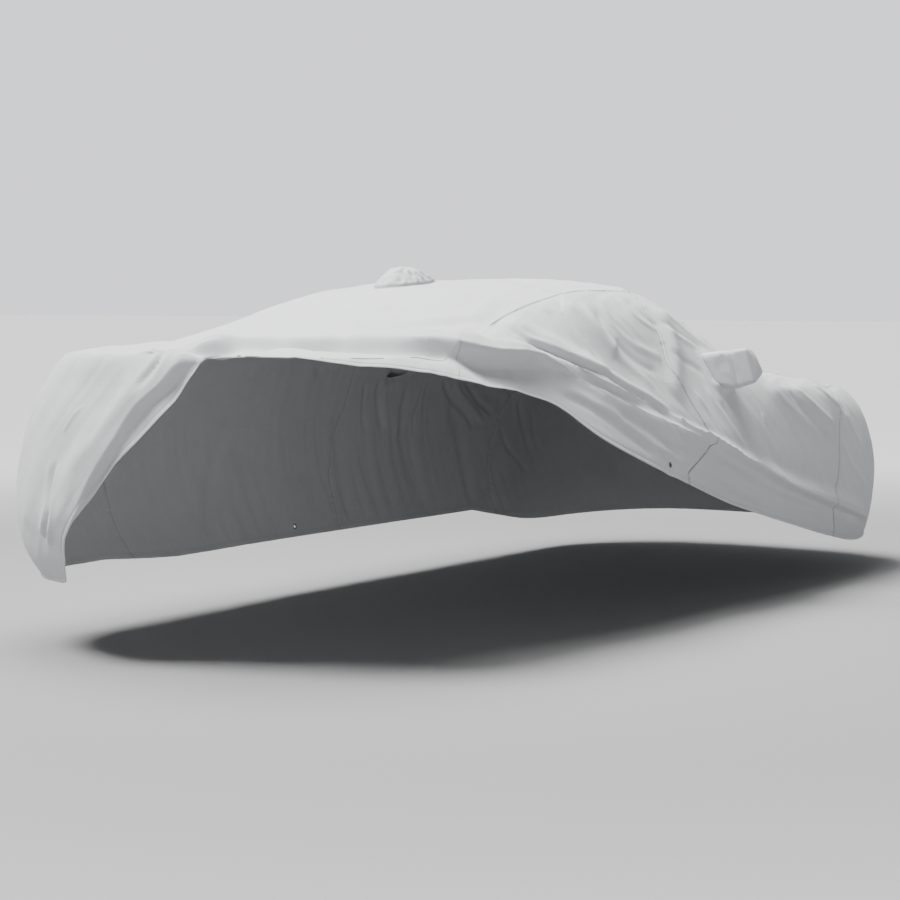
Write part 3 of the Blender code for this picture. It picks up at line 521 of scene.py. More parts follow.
    ("ridge", 0.036, -0.010, ((-0.46, 0.36, 1.22), (-0.10, 0.52, 1.23), (0.22, 0.70, 1.14))),
    ("ridge", 0.034, 0.010, (
        (-0.52, 0.48, 1.17), (-0.20, 0.64, 1.18), (0.10, 0.80, 1.09), (0.30, 0.88, 1.04))),
    ("ridge", 0.046, 0.010, (
        (-0.62, 1.02, 0.98), (-0.40, 1.24, 0.96), (-0.24, 1.56, 0.92), (-0.20, 1.86, 0.86))),
    ("ridge", 0.042, 0.010, (
        (0.58, 1.00, 0.98), (0.44, 1.26, 0.96), (0.34, 1.58, 0.92), (0.30, 1.84, 0.86))),
    ("ridge", 0.040, -0.009, ((-0.20, 1.02, 1.00), (-0.02, 1.36, 0.96), (0.10, 1.74, 0.90))),
    ("crease", 0.018, 0.010, ((-0.72, 1.10, 0.95), (-0.62, 1.44, 0.91), (-0.52, 1.74, 0.86))),
    ("crease", 0.018, 0.010, (
        (0.24, -0.36, 1.38), (0.34, -0.16, 1.38), (0.44, 0.00, 1.36), (0.52, 0.08, 1.33))),
    ("ridge", 0.040, 0.008, ((-0.30, -0.80, 1.36), (-0.24, -0.50, 1.38), (-0.28, -0.20, 1.38))),
    ("ridge", 0.050, 0.010, (
        (-0.40, -2.10, 1.13), (-0.30, -1.90, 1.15), (-0.26, -1.70, 1.17), (-0.34, -1.46, 1.21))),
    ("ridge", 0.034, 0.012, (
        (-0.48, 1.92, 0.78), (-0.58, 1.98, 0.62), (-0.64, 2.04, 0.44), (-0.62, 2.08, 0.26))),
    ("ridge", 0.030, 0.011, (
        (-0.10, 2.06, 0.76), (-0.20, 2.15, 0.62), (-0.28, 2.20, 0.44), (-0.30, 2.20, 0.26))),
    ("ridge", 0.030, -0.010, (
        (0.12, 2.06, 0.76), (0.06, 2.16, 0.62), (0.02, 2.21, 0.44), (0.04, 2.21, 0.26))),
    ("ridge", 0.034, 0.012, (
        (0.34, 2.00, 0.78), (0.36, 2.12, 0.62), (0.42, 2.14, 0.44), (0.46, 2.14, 0.26))),
    ("ridge", 0.034, 0.012, (
        (0.60, 1.84, 0.80), (0.68, 1.94, 0.62), (0.74, 1.96, 0.44), (0.76, 1.94, 0.28))),
    ("ridge", 0.070, 0.011, (
        (-0.92, -1.50, 0.96), (-0.97, -1.00, 0.74), (-0.98, -0.40, 0.55), (-0.96, 0.10, 0.44))),
    ("ridge", 0.050, 0.016, (
        (-0.93, 0.40, 0.86), (-0.97, 0.52, 0.66), (-0.96, 0.60, 0.42), (-0.94, 0.64, 0.26))),
    ("ridge", 0.045, 0.014, (
        (-0.93, 0.86, 0.84), (-0.97, 1.00, 0.62), (-0.95, 1.08, 0.38), (-0.93, 1.12, 0.24))),
    ("ridge", 0.050, 0.015, (
        (-0.94, -0.10, 0.84), (-0.97, -0.02, 0.62), (-0.96, 0.04, 0.40), (-0.94, 0.06, 0.26))),
    ("ridge", 0.045, 0.013, (
        (-0.92, -0.80, 0.88), (-0.97, -0.90, 0.66), (-0.95, -0.96, 0.40), (-0.92, -1.00, 0.28))),
    ("ridge", 0.050, 0.015, (
        (-0.90, -1.86, 0.96), (-0.93, -1.96, 0.70), (-0.90, -2.00, 0.44), (-0.88, -2.02, 0.30))),
)
mirroredFolds = slice(7, 30)  # the folds of the window and front panels, which the left side has too
leftShift = 0.03  # a little further forward there


def smoothRoute(route, pieces=5):
    route = np.array(route, float)
    if len(route) < 3:
        return route
    knots = alongLine(route)
    return throughPoints(knots, route, np.linspace(0.0, knots[-1], pieces * (len(route) - 1) + 1))


def foldShape(kind, width, nearest, signed):
    # the height of a fold across its route, for a height of one
    if kind == "ridge":
        return np.exp(-((nearest / width) ** 2))
    if kind == "crease":  # a sharp crest
        foot = np.exp(-((nearest / (creaseShape["foot"] * width)) ** 2))
        return np.exp(-nearest / (creaseShape["sharp"] * width)) * foot
    if kind == "groove":  # a sharp furrow with a low lip on both sides
        lip = grooveShape["lip"] * np.exp(-(((nearest - grooveShape["lipAway"] * width) / width) ** 2))
        foot = np.exp(-((nearest / (grooveShape["foot"] * width)) ** 2))
        return lip - np.exp(-nearest / (grooveShape["sharp"] * width)) * foot
    if kind == "fall":  # a slow rise to a crest, then a steep drop towards the hem
        t = -signed / width
        depth = fallShape["depth"]
        slow = np.exp(-((t / fallShape["inside"]) ** 2))
        steep = (1 + depth) * (1 - smoothStep(t)) - depth
        after = -depth * np.exp(-(((t - 1) / fallShape["recover"]) ** 2))
        return np.where(t < 0, slow, np.where(t < 1, steep, after))
    # a lap: a crisp crest that drops into a furrow above it and falls slowly below it
    away = signed - lapShape["grooveAway"] * width
    groove = np.exp(-((away / (lapShape["grooveWidth"] * width)) ** 2))
    close = np.exp(-((nearest / (2 * lapShape["grooveAway"] * width)) ** 2))
    above = np.exp(-((nearest / (lapShape["above"] * width)) ** lapShape["abovePower"]))
    below = np.exp(-((nearest / (lapShape["below"] * width)) ** 2))
    return np.where(signed > 0, above, below) - lapShape["grooveDepth"] * groove * close


def foldLift(points, normals, rows, gain=None):
    # how far the folds lift each point of the cloth along its normal
    lift = np.zeros(len(points))
    for kind, width, height, corners in rows:
        route = smoothRoute(corners)
        lengths = alongLine(route)
        reach = foldReach["widths"] * width + foldReach["more"]
        near = ((points > route.min(axis=0) - reach) & (points < route.max(axis=0) + reach)).all(axis=1)
        near = np.flatnonzero(near)
        spot, normal = points[near], normals[near]
        nearest = np.full(len(near), np.inf)
        signed = np.zeros(len(near))
        share = np.zeros(len(near))
        for start, end, runStart, runEnd in zip(route[:-1], route[1:], lengths[:-1], lengths[1:]):
            run = end - start
            t = np.clip((spot - start) @ run / (run @ run), 0.0, 1.0)
            away = spot - (start + t[:, None] * run)
            above = (away * normal).sum(axis=1)
            away = away - above[:, None] * normal
            otherSide = np.where(np.abs(above) > foldReach["through"], 1.0, 0.0)
            distance = np.linalg.norm(away, axis=1) + otherSide
            closer = distance < nearest
            upward = np.cross(normal, run / np.linalg.norm(run))
            nearest = np.where(closer, distance, nearest)
            signed = np.where(closer, distance * np.sign((away * upward).sum(axis=1)), signed)
            share = np.where(closer, (runStart + t * (runEnd - runStart)) / lengths[-1], share)
        longest = foldEnds["longest"] / lengths[-1]
        fade = smoothStep(share / min(foldEnds["fadeIn"], longest))
        fade *= smoothStep((1 - share) / min(foldEnds["fadeOut"], longest))
        turns = share * lengths[-1] / foldUneven["length"] * math.tau + foldUneven["shift"] * width
        uneven = 1 + foldUneven["height"] * (np.sin(turns) + 0.5 * np.sin(foldUneven["second"] * turns))
        heights = np.atleast_1d(height)
        strength = np.interp(share, np.linspace(0, 1, len(heights)), heights)
        strength = strength * (gain[kind] if gain else 1.0)
        lift[near] += strength * uneven * fade * foldShape(kind, width, nearest, signed)
    return lift


# ---- mirror pockets and the antenna pocket

pocket = {
    "mouth": ((0.218, 1.085), (0.375, 1.070), (0.380, 0.950), (0.236, 0.934)),
    "shoulder": ((0.196, 1.098), (0.335, 1.086), (0.345, 0.960), (0.232, 0.932)),
    "shoulderAt": 0.42,
    "end": ((0.176, 1.112), (0.250, 1.096), (0.310, 1.000), (0.208, 0.956)),
    "mouthRound": 0.035,
    "shoulderRound": 0.026,
    "endRound": 0.020,
    "endX": 1.050,
    "endLean": 0.20,  # the end piece leans in towards its top
    "tuck": 0.009,
    "crown": 0.013,
    "rings": 26,
    # creases on the face turned to the tail: how far forward it reaches, x, z, lean and depth
    "creases": ((0.25, 0.950, 1.03, -0.10, 0.0100), (0.25, 0.880, 1.03, 0.60, 0.0045)),
    "pull": 0.008,  # the cloth round the mouth is pulled out this far
    "pullBelow": 0.014,  # and this much further below it, as a collar
    "pullWidth": 0.022,
    "collarZ": 0.975,  # below this height the collar starts
    "collarFade": 0.03,
    "nearX": 0.6,  # the cloth round a mouth, as y and z of its middle and half its size
    "nearMiddle": (0.28, 1.01),
    "nearHalf": (0.30, 0.25),
    "flank": 0.87,  # where the cloth is taken to be when no cloth is found
    "foot": 0.2,  # the sleeve starts this share of the tuck outside the cloth
    "footInside": 0.006,
    "endDraw": 0.055,  # the sleeve draws in by this share over its last stretch
    "endStretch": 0.035,
    "sag": 0.004,
    "ripple": 0.0032,
    "rippleScales": (22, 55),
    "creaseWidth": 0.006,
    "mouthShade": (0.22, 0.05),  # painted shade where the sleeve meets the cloth: how much darker, and over what share of the length
    # painted shade where the end piece is sewn on
    "endShade": (0.15, 0.03),
    "capLevels": (1.0, 0.97, 0.9, 0.78, 0.62, 0.45, 0.28, 0.12),
    "capPower": 2.2,
}

dome = {
    "plan": ((-1.030, 0.018), (-1.010, 0.048), (-0.950, 0.082), (-0.860, 0.078), (-0.760, 0.045),
             (-0.660, 0.006)),
    "peakY": -0.905,
    "height": 0.062,
    "power": 2.4,
    "tuck": 0.009,
    "steps": 80,
    "rings": 30,
    "gathers": 8,
    "gatherRise": 0.0026,
    "crumple": 0.0070,
    "dents": ((0.030, -0.925, 0.010, 0.0070), (0.058, -0.985, 0.014, 0.0060),
              (-0.040, -0.880, 0.016, 0.0050)),
    # the turned-out seam allowance lies on the cloth round the foot: share of the plan, and rise
    "foot": ((1.0, -0.006), (1.055, -0.001), (1.05, 0.0022), (1.02, 0.0026), (0.998, 0.0006)),
    "sides": (0.985, 0.06),
    "tip": 0.001,
    "rippleScales": (30, 70),
    # painted shade: the whole pocket a little darker than the cover, darker along its foot and in its dents
    "shade": 0.94,
    "footShade": (0.28, 0.03),
    "dentShade": (0.10, 0.006),
}

eyelet = {
    "hole": 0.007, "barrel": 0.0086, "flange": 0.0130, "flangeThick": 0.0010, "clear": 0.0005,
    "corner": 0.0006, "rolled": 9, "steps": 48,
    "near": 0.09, "flat": 0.026, "flatFade": 0.05,  # the cloth round it is pressed flat
    "cut": 0.0135, "clothHole": 0.0092,  # points this near are drawn on to the hole in the cloth
}

print("stage: cloth surface")
stations = makeStations()
rows = []
for station in stations:
    left = skirtColumn(station, -1)
    right = skirtColumn(station, 1)
    rows.append(np.vstack([left[:0:-1], topRow(left[0], right[0]), right[1:]]))
grid = np.array(rows)
leftEdge = sideRows * cloth["sideFiner"] + 1 + len(cloth["hemRows"])
rightEdge = grid.shape[1] - 1 - leftEdge
grid = bendSeams(easeEdge(grid, rightEdge), stations, leftEdge, rightEdge)
seamAt = {name: stationAt(stations, place) for name, place in seamPlaces.items()}

keys = np.round(grid.reshape(-1, 3) / 1e-5).astype(np.int64)
_, firstSeen, inverse = np.unique(keys, axis=0, return_index=True, return_inverse=True)
points = grid.reshape(-1, 3)[firstSeen]
index = inverse.reshape(grid.shape[:2])
print("cloth grid", grid.shape, "points", len(points))


def normalsOf(points, faces):
    normals = np.zeros_like(points)
    a, b, c, d = (points[faces[:, k]] for k in range(4))
    across = np.cross(c - a, d - b)
    for corner in range(4):
        for axis in range(3):
            normals[:, axis] += np.bincount(faces[:, corner], across[:, axis], len(points))
    return normals / np.maximum(np.linalg.norm(normals, axis=1, keepdims=True), 1e-12)


cellI, cellJ = np.meshgrid(np.arange(index.shape[0] - 1), np.arange(index.shape[1] - 1), indexing="ij")
cellI, cellJ = cellI.ravel(), cellJ.ravel()
quads = np.stack([index[cellI, cellJ], index[cellI, cellJ + 1],
                  index[cellI + 1, cellJ + 1], index[cellI + 1, cellJ]], axis=1)
kinds = np.array([len(set(quad)) for quad in quads.tolist()])
quads, cellI, cellJ = quads[kinds > 2], cellI[kinds > 2], cellJ[kinds > 2]
normals = normalsOf(points, quads)


def rimOf(faces):
    # edges that only one face has, in that face's order
    ends = np.concatenate([faces[:, [k, (k + 1) % 4]] for k in range(4)])
    ends = ends[ends[:, 0] != ends[:, 1]]
    size = int(faces.max()) + 1
    forward = ends[:, 0] * size + ends[:, 1]
    backward = ends[:, 1] * size + ends[:, 0]
    return ends[~np.isin(forward, backward)]


print("stage: folds and seams")

texture = {
    "crumple": ((0.34, 0.0050), (0.15, 0.0024), (0.065, 0.0009)),  # size and height of slow unevenness
    "drapes": ((0.055, 0.42, 0.0030), (0.024, 0.24, 0.0010)),  # width, length and height of hanging folds
    "drapeSlant": 0.9,  # how far they run forwards as they go down
    "bandDrapes": ((0.050, 0.60, 0.0032), (0.022, 0.30, 0.0010)),  # the same along the lifted hem
    "bandTop": 0.20,
    "tension": ((0.060, 0.50, 0.0060), (0.026, 0.26, 0.0020)),  # the same for the pulls along the top
    "crinkle": ((0.060, 0.0050), (0.026, 0.0020)),  # the turned-up cloth on the deck is crumpled more
    "seamSink": 0.0026,
    "liftedSeam": 0.25,  # the rear seam shows less where the right side is turned up
    "fellRise": 0.0018,
    "fellWidth": 0.0105,
    "puckerHeight": 0.0022,
    "puckerWidth": 0.022,
    "hemRise": 0.0030,
    "hemMiddle": 0.006,
    "hemHalf": 0.0072,
    "hemStitch": 0.017,
    "hemStitchSink": 0.0016,
    "hemStitchWidth": 0.004,
    "sideFrom": 0.82,  # a side starts where the cloth faces up less than this
    "sideFade": 0.3,
    "bandFade": 0.07,
    "leftSlant": 0.35,  # the left side's folds slant less
    "behindY": -2.15,  # the tail's own folds start here
    "behindFade": 0.15,
    "tailSlant": (0.76, 0.65),
    "topSlant": 0.25,
    "crinkleY": -1.05,
    "crinkleFade": 0.2,
    "calmScale": 2.1,  # where the cloth hangs calmer or livelier, and how much
    "calmMean": 0.75,
    "calmChange": 1.3,
    "calmLimits": (0.15, 1.6),
    "puckerSizes": (0.026, 0.037, 0.061),
    "puckerBeat": 0.21,
    "furrowWidth": 0.0035,
    "fellFade": 0.003,
    "fellOver": 0.002,
    "faintSeam": 0.2,  # a seam weaker than this leaves no shade
}


def noiseAt(spots, scale=1.0, shift=Vector((0.0, 0.0, 0.0))):
    # smooth noise at each spot
    return np.array([noise.noise(Vector(spot) * scale + shift) for spot in spots.tolist()])


def randomShift():
    return Vector(rng.uniform(-9, 9, 3))


def crumple(points):
    lift = np.zeros(len(points))
    for size, height in texture["crumple"]:
        lift += height * noiseAt(points / size, 1.0, randomShift())
    return lift


def stretched(points, normals):
    # folds that hang down the sides, and faint pulls along the top
    x, y, z = points.T
    side = smoothStep((texture["sideFrom"] - np.abs(normals[:, 2])) / texture["sideFade"])
    aboveHem = z - tableCurve(rightHemRows, y)
    band = smoothStep((texture["bandTop"] - aboveHem) / texture["bandFade"]) * (x > 0)
    behind = smoothStep((texture["behindY"] - y) / texture["behindFade"])
    slant = y + texture["drapeSlant"] * z * np.where(x > 0, 1.0, texture["leftSlant"])
    acrossTail, downTail = texture["tailSlant"]
    lift = np.zeros(len(points))
    for rows, first, second, share in (
        (texture["drapes"], slant, z, side * (1 - band) * (1 - behind)),
        (texture["bandDrapes"], aboveHem, y, side * band * (1 - behind)),
        (texture["bandDrapes"], acrossTail * x - downTail * z, z, side * behind),
        (texture["tension"], x + texture["topSlant"] * y, y, 1 - side),
    ):
        for across, along, height in rows:
            where = np.stack([first / across, second / along, 0.5 * points[:, 0]], axis=1)
            lift += height * share * noiseAt(where, 1.0, randomShift())
    lifted = side * 0.5 + 0.5
    lifted *= band * smoothStep((texture["crinkleY"] - y) / texture["crinkleFade"]) * (1 - behind)
    for size, height in texture["crinkle"]:
        lift += height * lifted * noiseAt(points / size, 1.0, randomShift())
    strength = noiseAt(points, texture["calmScale"], randomShift())
    return lift * np.clip(texture["calmMean"] + texture["calmChange"] * strength, *texture["calmLimits"])


def pucker(along):
    # small gathers beside a seam, unevenly spaced
    wave = np.zeros_like(along)
    for size in texture["puckerSizes"]:
        wave += np.sin(along / size * math.tau + rng.uniform(0, math.tau))
    beat = np.sin(along / texture["puckerBeat"] * math.tau + rng.uniform(0, math.tau))
    return wave / 2.2 * (0.6 + 0.4 * beat)


seamSide = np.full(index.shape, np.inf)  # distance to the nearest seam
seamLift = np.zeros(index.shape)


def addSeam(signed, along, strength):
    # a turned-over seam: a furrow, a raised strip on its positive side and gathers on both
    away = np.abs(signed)
    fade, faint = texture["fellFade"], texture["faintSeam"]
    stripEnd = texture["fellWidth"] + texture["fellOver"]
    strip = smoothStep(signed / fade) * smoothStep((stripEnd - signed) / fade)
    furrow = np.exp(-((away / texture["furrowWidth"]) ** 2))
    profile = texture["fellRise"] * strip - texture["seamSink"] * furrow
    profile += texture["puckerHeight"] * pucker(along) * np.exp(-((away / texture["puckerWidth"]) ** 2))
    seamLift[:] += profile * strength
    near = np.where(strength > faint, away / np.maximum(strength, faint), np.inf)
    seamSide[:] = np.minimum(seamSide, near)


lengthAlong = np.vstack([np.zeros(grid.shape[1]),
                         np.cumsum(np.linalg.norm(np.diff(grid, axis=0), axis=2), axis=0)])
lengthAcross = np.hstack([np.zeros((grid.shape[0], 1)),
                          np.cumsum(np.linalg.norm(np.diff(grid, axis=1), axis=2), axis=1)])
columns = np.arange(grid.shape[1])
onTop = (columns >= leftEdge) & (columns <= rightEdge)
topSeams = ("roof", "cowl")  # the other cross seams run down the sides
for name, seam in seamAt.items():
    along = np.repeat(lengthAcross[seam][None], grid.shape[0], axis=0)
    strength = (onTop if name in topSeams else ~onTop).astype(float)
    if name == "deck":
        strength[rightEdge:] *= texture["liftedSeam"]
    addSeam(lengthAlong - lengthAlong[seam], along, np.tile(strength, (grid.shape[0], 1)))
edgePlaces = np.array([railsAt(station, 1)[0] for station in stations])
edgeStrength = (edgePlaces[:, 1] > edgeSeamStart) * smoothStep(edgePlaces[:, 0] / fullEdgeSeam)
edgeStrength = np.repeat(edgeStrength[:, None], grid.shape[1], axis=1)
for edge, inward in ((leftEdge, 1), (rightEdge, -1)):
    along = np.repeat(lengthAlong[:, edge : edge + 1], grid.shape[1], axis=1)
    addSeam(inward * (lengthAcross - lengthAcross[:, edge : edge + 1]), along, edgeStrength)

lift = foldLift(points, normals, foldRows)
points = points + normals * lift[:, None]
normals = normalsOf(points, quads)
leftRows = [(kind, width, height, [(-x, y + leftShift, z) for x, y, z in route])
            for kind, width, height, route in detailRows[mirroredFolds]]
lift = foldLift(points, normals, (*detailRows, *leftRows), fineGain)
lift = lift + crumple(points) + stretched(points, normals)
lift += seamLift.reshape(-1)[firstSeen]

# the hem isn't thickened in the corner at the tail's tip
hemCorner = {"spot": (0.24, -2.41, 1.12), "plain": 0.06, "fade": 0.12}
hemRim = rimOf(quads)
hemSpots = np.concatenate([points[hemRim[:, 0]] * (1 - t) + points[hemRim[:, 1]] * t
                           for t in (0.0, 0.2, 0.4, 0.6, 0.8)])
hemTree = kdtree.KDTree(len(hemSpots))
for k, spot in enumerate(hemSpots.tolist()):
    hemTree.insert(spot, k)
hemTree.balance()
hemAway = np.array([hemTree.find(point)[2] for point in points.tolist()])
hemBead = texture["hemRise"] * np.exp(-(((hemAway - texture["hemMiddle"]) / texture["hemHalf"]) ** 4))
cornerAway = np.linalg.norm(points - hemCorner["spot"], axis=1)
hemBead *= smoothStep((cornerAway - hemCorner["plain"]) / hemCorner["fade"])
stitchFurrow = np.exp(-(((hemAway - texture["hemStitch"]) / texture["hemStitchWidth"]) ** 2))
lift += hemBead - texture["hemStitchSink"] * stitchFurrow
points = points + normals * lift[:, None]


settleShare = 0.6  # how much of a point's way to its neighbours' mean each round goes
# where the cloth is smoothed, how far round and in how many rounds
calmSpots = (
    ((-0.13, -2.31, 1.13), 0.14, 50), (hemCorner["spot"], 0.13, 40), ((0.0, 2.06, 0.77), 0.10, 20),
    ((0.74, -1.48, 1.12), 0.22, 5), ((0.50, -1.80, 1.15), 0.18, 4), ((0.22, -2.10, 1.15), 0.18, 4),
)


def settle(spot, reach, rounds):
    # smooths the cloth round one spot, and the hem along itself
    away = np.linalg.norm(points - spot, axis=1)
    share = smoothStep((reach - away) / (settleShare * reach))
    near = quads[(away[quads] < reach).any(axis=1)]
    ends = np.concatenate([near[:, [k, (k + 1) % 4]] for k in range(4)])
    ends = np.concatenate([ends, ends[:, ::-1]])
    onHem = np.zeros(len(points), bool)
    onHem[hemRim] = True
    ends = ends[(ends[:, 0] != ends[:, 1]) & (onHem[ends[:, 1]] | ~onHem[ends[:, 0]])]
    count = np.maximum(np.bincount(ends[:, 0], minlength=len(points)), 1)
    for _ in range(rounds):
        for axis in range(3):
            mean = np.bincount(ends[:, 0], points[ends[:, 1], axis], len(points)) / count
            points[:, axis] += settleShare * share * (mean - points[:, axis])


for spot, reach, rounds in calmSpots:
    settle(spot, reach, rounds)


def roundedOutline(corners, radius, steps=9, fill=5):
    corners = np.array(corners)
    outline = []
    for k, corner in enumerate(corners):
        before = corners[k - 1] - corner
        after = corners[(k + 1) % len(corners)] - corner
        start = corner + radius * before / np.linalg.norm(before)
        end = corner + radius * after / np.linalg.norm(after)
        for t in np.linspace(0.0, 1.0, steps):
            outline.append((1 - t) ** 2 * start + 2 * t * (1 - t) * corner + t**2 * end)
        following = corners[(k + 1) % len(corners)]
        nextStart = following + radius * (corner - following) / np.linalg.norm(corner - following)
        for t in np.linspace(0.0, 1.0, fill + 2)[1:-1]:
            outline.append(end + t * (nextStart - end))
    return np.array(outline)


def outlineDistance(spots, outline):
    # signed distance to a closed outline, negative inside, and the nearest place on it
    best = np.full(len(spots), np.inf)
    place = np.zeros_like(spots)
    inside = np.zeros(len(spots), bool)
    for start, end in zip(outline, np.roll(outline, -1, axis=0)):
        run = end - start
        t = np.clip((spots - start) @ run / (run @ run), 0.0, 1.0)
        foot = start + t[:, None] * run
        distance = np.linalg.norm(spots - foot, axis=1)
        closer = distance < best
        best = np.where(closer, distance, best)
        place = np.where(closer[:, None], foot, place)
        crosses = (start[1] > spots[:, 1]) != (end[1] > spots[:, 1])
        rise = end[1] - start[1] if abs(end[1] - start[1]) > 1e-12 else 1e-12
        at = start[0] + (spots[:, 1] - start[1]) / rise * (end[0] - start[0])
        inside ^= crosses & (spots[:, 0] < at)
    return np.where(inside, -best, best), place


mouth = roundedOutline(pocket["mouth"], pocket["mouthRound"])
openFaces = np.zeros(len(quads), bool)
for side in (1, -1):
    beside = (np.abs(points[:, 1:] - pocket["nearMiddle"]) < pocket["nearHalf"]).all(axis=1)
    near = np.flatnonzero((points[:, 0] * side > pocket["nearX"]) & beside)
    away, place = outlineDistance(points[near][:, 1:], mouth)
    below = smoothStep((pocket["collarZ"] - points[near, 2]) / pocket["collarFade"])
    pull = pocket["pull"] + pocket["pullBelow"] * below
    pull = pull * np.exp(-((np.maximum(away, 0) / pocket["pullWidth"]) ** 2))
    points[near, 0] += side * pull
    signedAway = np.full(len(points), np.inf)
    signedAway[near] = away
    placeOf = dict(zip(near.tolist(), place))
    # points that lie on either side of the mouth's edge are drawn on to it, the nearer ones first
    for quad in quads[(signedAway[quads].min(axis=1) < 0) & (signedAway[quads].max(axis=1) > 0)].tolist():
        inner = [vertex for vertex in quad if signedAway[vertex] < 0]
        outer = [vertex for vertex in quad if signedAway[vertex] > 0]
        if not inner or not outer:
            continue
        moved = inner if max(-signedAway[v] for v in inner) <= max(signedAway[v] for v in outer) else outer
        for vertex in moved:
            points[vertex, 1:] = placeOf[vertex]
            signedAway[vertex] = 0.0
    openFaces |= (signedAway[quads].max(axis=1) <= 0) & (signedAway[quads].min(axis=1) < 0)
    openFaces |= (signedAway[quads] == 0).all(axis=1)

print("stage: eyelet places")


def eyeletPlace(name):
    # the middle and axis of the eyelet as it sits in the frame
    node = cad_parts[name]
    spots = np.array([vertex.co for vertex in node.data.vertices]) + restPoint
    middle = spots.mean(axis=0)
    axes = np.linalg.svd(spots - middle)[2]
    normal = axes[2] * np.sign(axes[2][0] * middle[0])
    return middle + normal * cloth["thickness"] / 2, normal


for side, name in ((1, "right_eyelet"), (-1, "left_eyelet")):
    middle, normal = eyeletPlace(name)
    near = np.flatnonzero(np.linalg.norm(points - middle, axis=1) < eyelet["near"])
    apart = points[near] - middle
    above = apart @ normal
    across = np.linalg.norm(apart - above[:, None] * normal, axis=1)
    flat = 1 - smoothStep((across - eyelet["flat"]) / eyelet["flatFade"])
    points[near] -= (above * flat)[:, None] * normal
    direction = (apart - above[:, None] * normal) / np.maximum(across, 1e-9)[:, None]
    ring = across < eyelet["cut"]
    points[near[ring]] = middle + direction[ring] * eyelet["clothHole"]
    inside = np.zeros(len(points), bool)
    inside[near[ring]] = True
    openFaces |= inside[quads].all(axis=1)

normals = normalsOf(points, quads)

print("stage: panels")


def objectFrom(name, vertices, faces, material, sharp=50):
    mesh = bpy.data.meshes.new(name)
    mesh.from_pydata((np.asarray(vertices) - restPoint).tolist(), [], faces)
    mesh.validate()
    mesh.update()
    mesh.shade_smooth()
    mesh.set_sharp_from_angle(angle=math.radians(sharp))
    mesh.materials.append(material)
    made = bpy.data.objects.new(name, mesh)
    bpy.context.scene.collection.objects.link(made)
    return made


def nodesOf(material):
    material.use_nodes = True
    nodes = material.node_tree.nodes
    return nodes, material.node_tree.links, nodes["Principled BSDF"]


def rangeNode(tree, source, low, high, start=0.0, end=1.0):
    # spreads the values from start to end over low to high
    made = tree.nodes.new("ShaderNodeMapRange")
    for key, value in {"From Min": start, "From Max": end, "To Min": low, "To Max": high}.items():
        made.inputs[key].default_value = value
    tree.links.new(source, made.inputs["Value"])
    return made


def bumpNode(tree, source, shader, strength, distance):
    made = tree.nodes.new("ShaderNodeBump")
    made.inputs["Strength"].default_value = strength
    made.inputs["Distance"].default_value = distance
    tree.links.new(source, made.inputs["Height"])
    tree.links.new(made.outputs["Normal"], shader.inputs["Normal"])


clothLook = {
    "color": (0.49, 0.497, 0.505),
    "patchShade": 0.035,
    "seamWidth": 0.004,
    "hemWidth": 0.006,
    "roughChange": 0.05,
    "specular": 0.25,
    "sheenRoughness": 0.6,
    "dotScale": 520,  # bonded dots, with fibres between them
    "fibreScale": 1500,
    "fibreDepth": 0.0006,
    # how much darker the seam lines and the hem's stitched line are painted: partly soil, partly painted
    # shade of their furrows
    "seamShade": 0.30,
    "hemShade": 0.05,
    "roughness": 0.88,
    "sheen": 0.12,
    "fibreBump": 0.35,
}


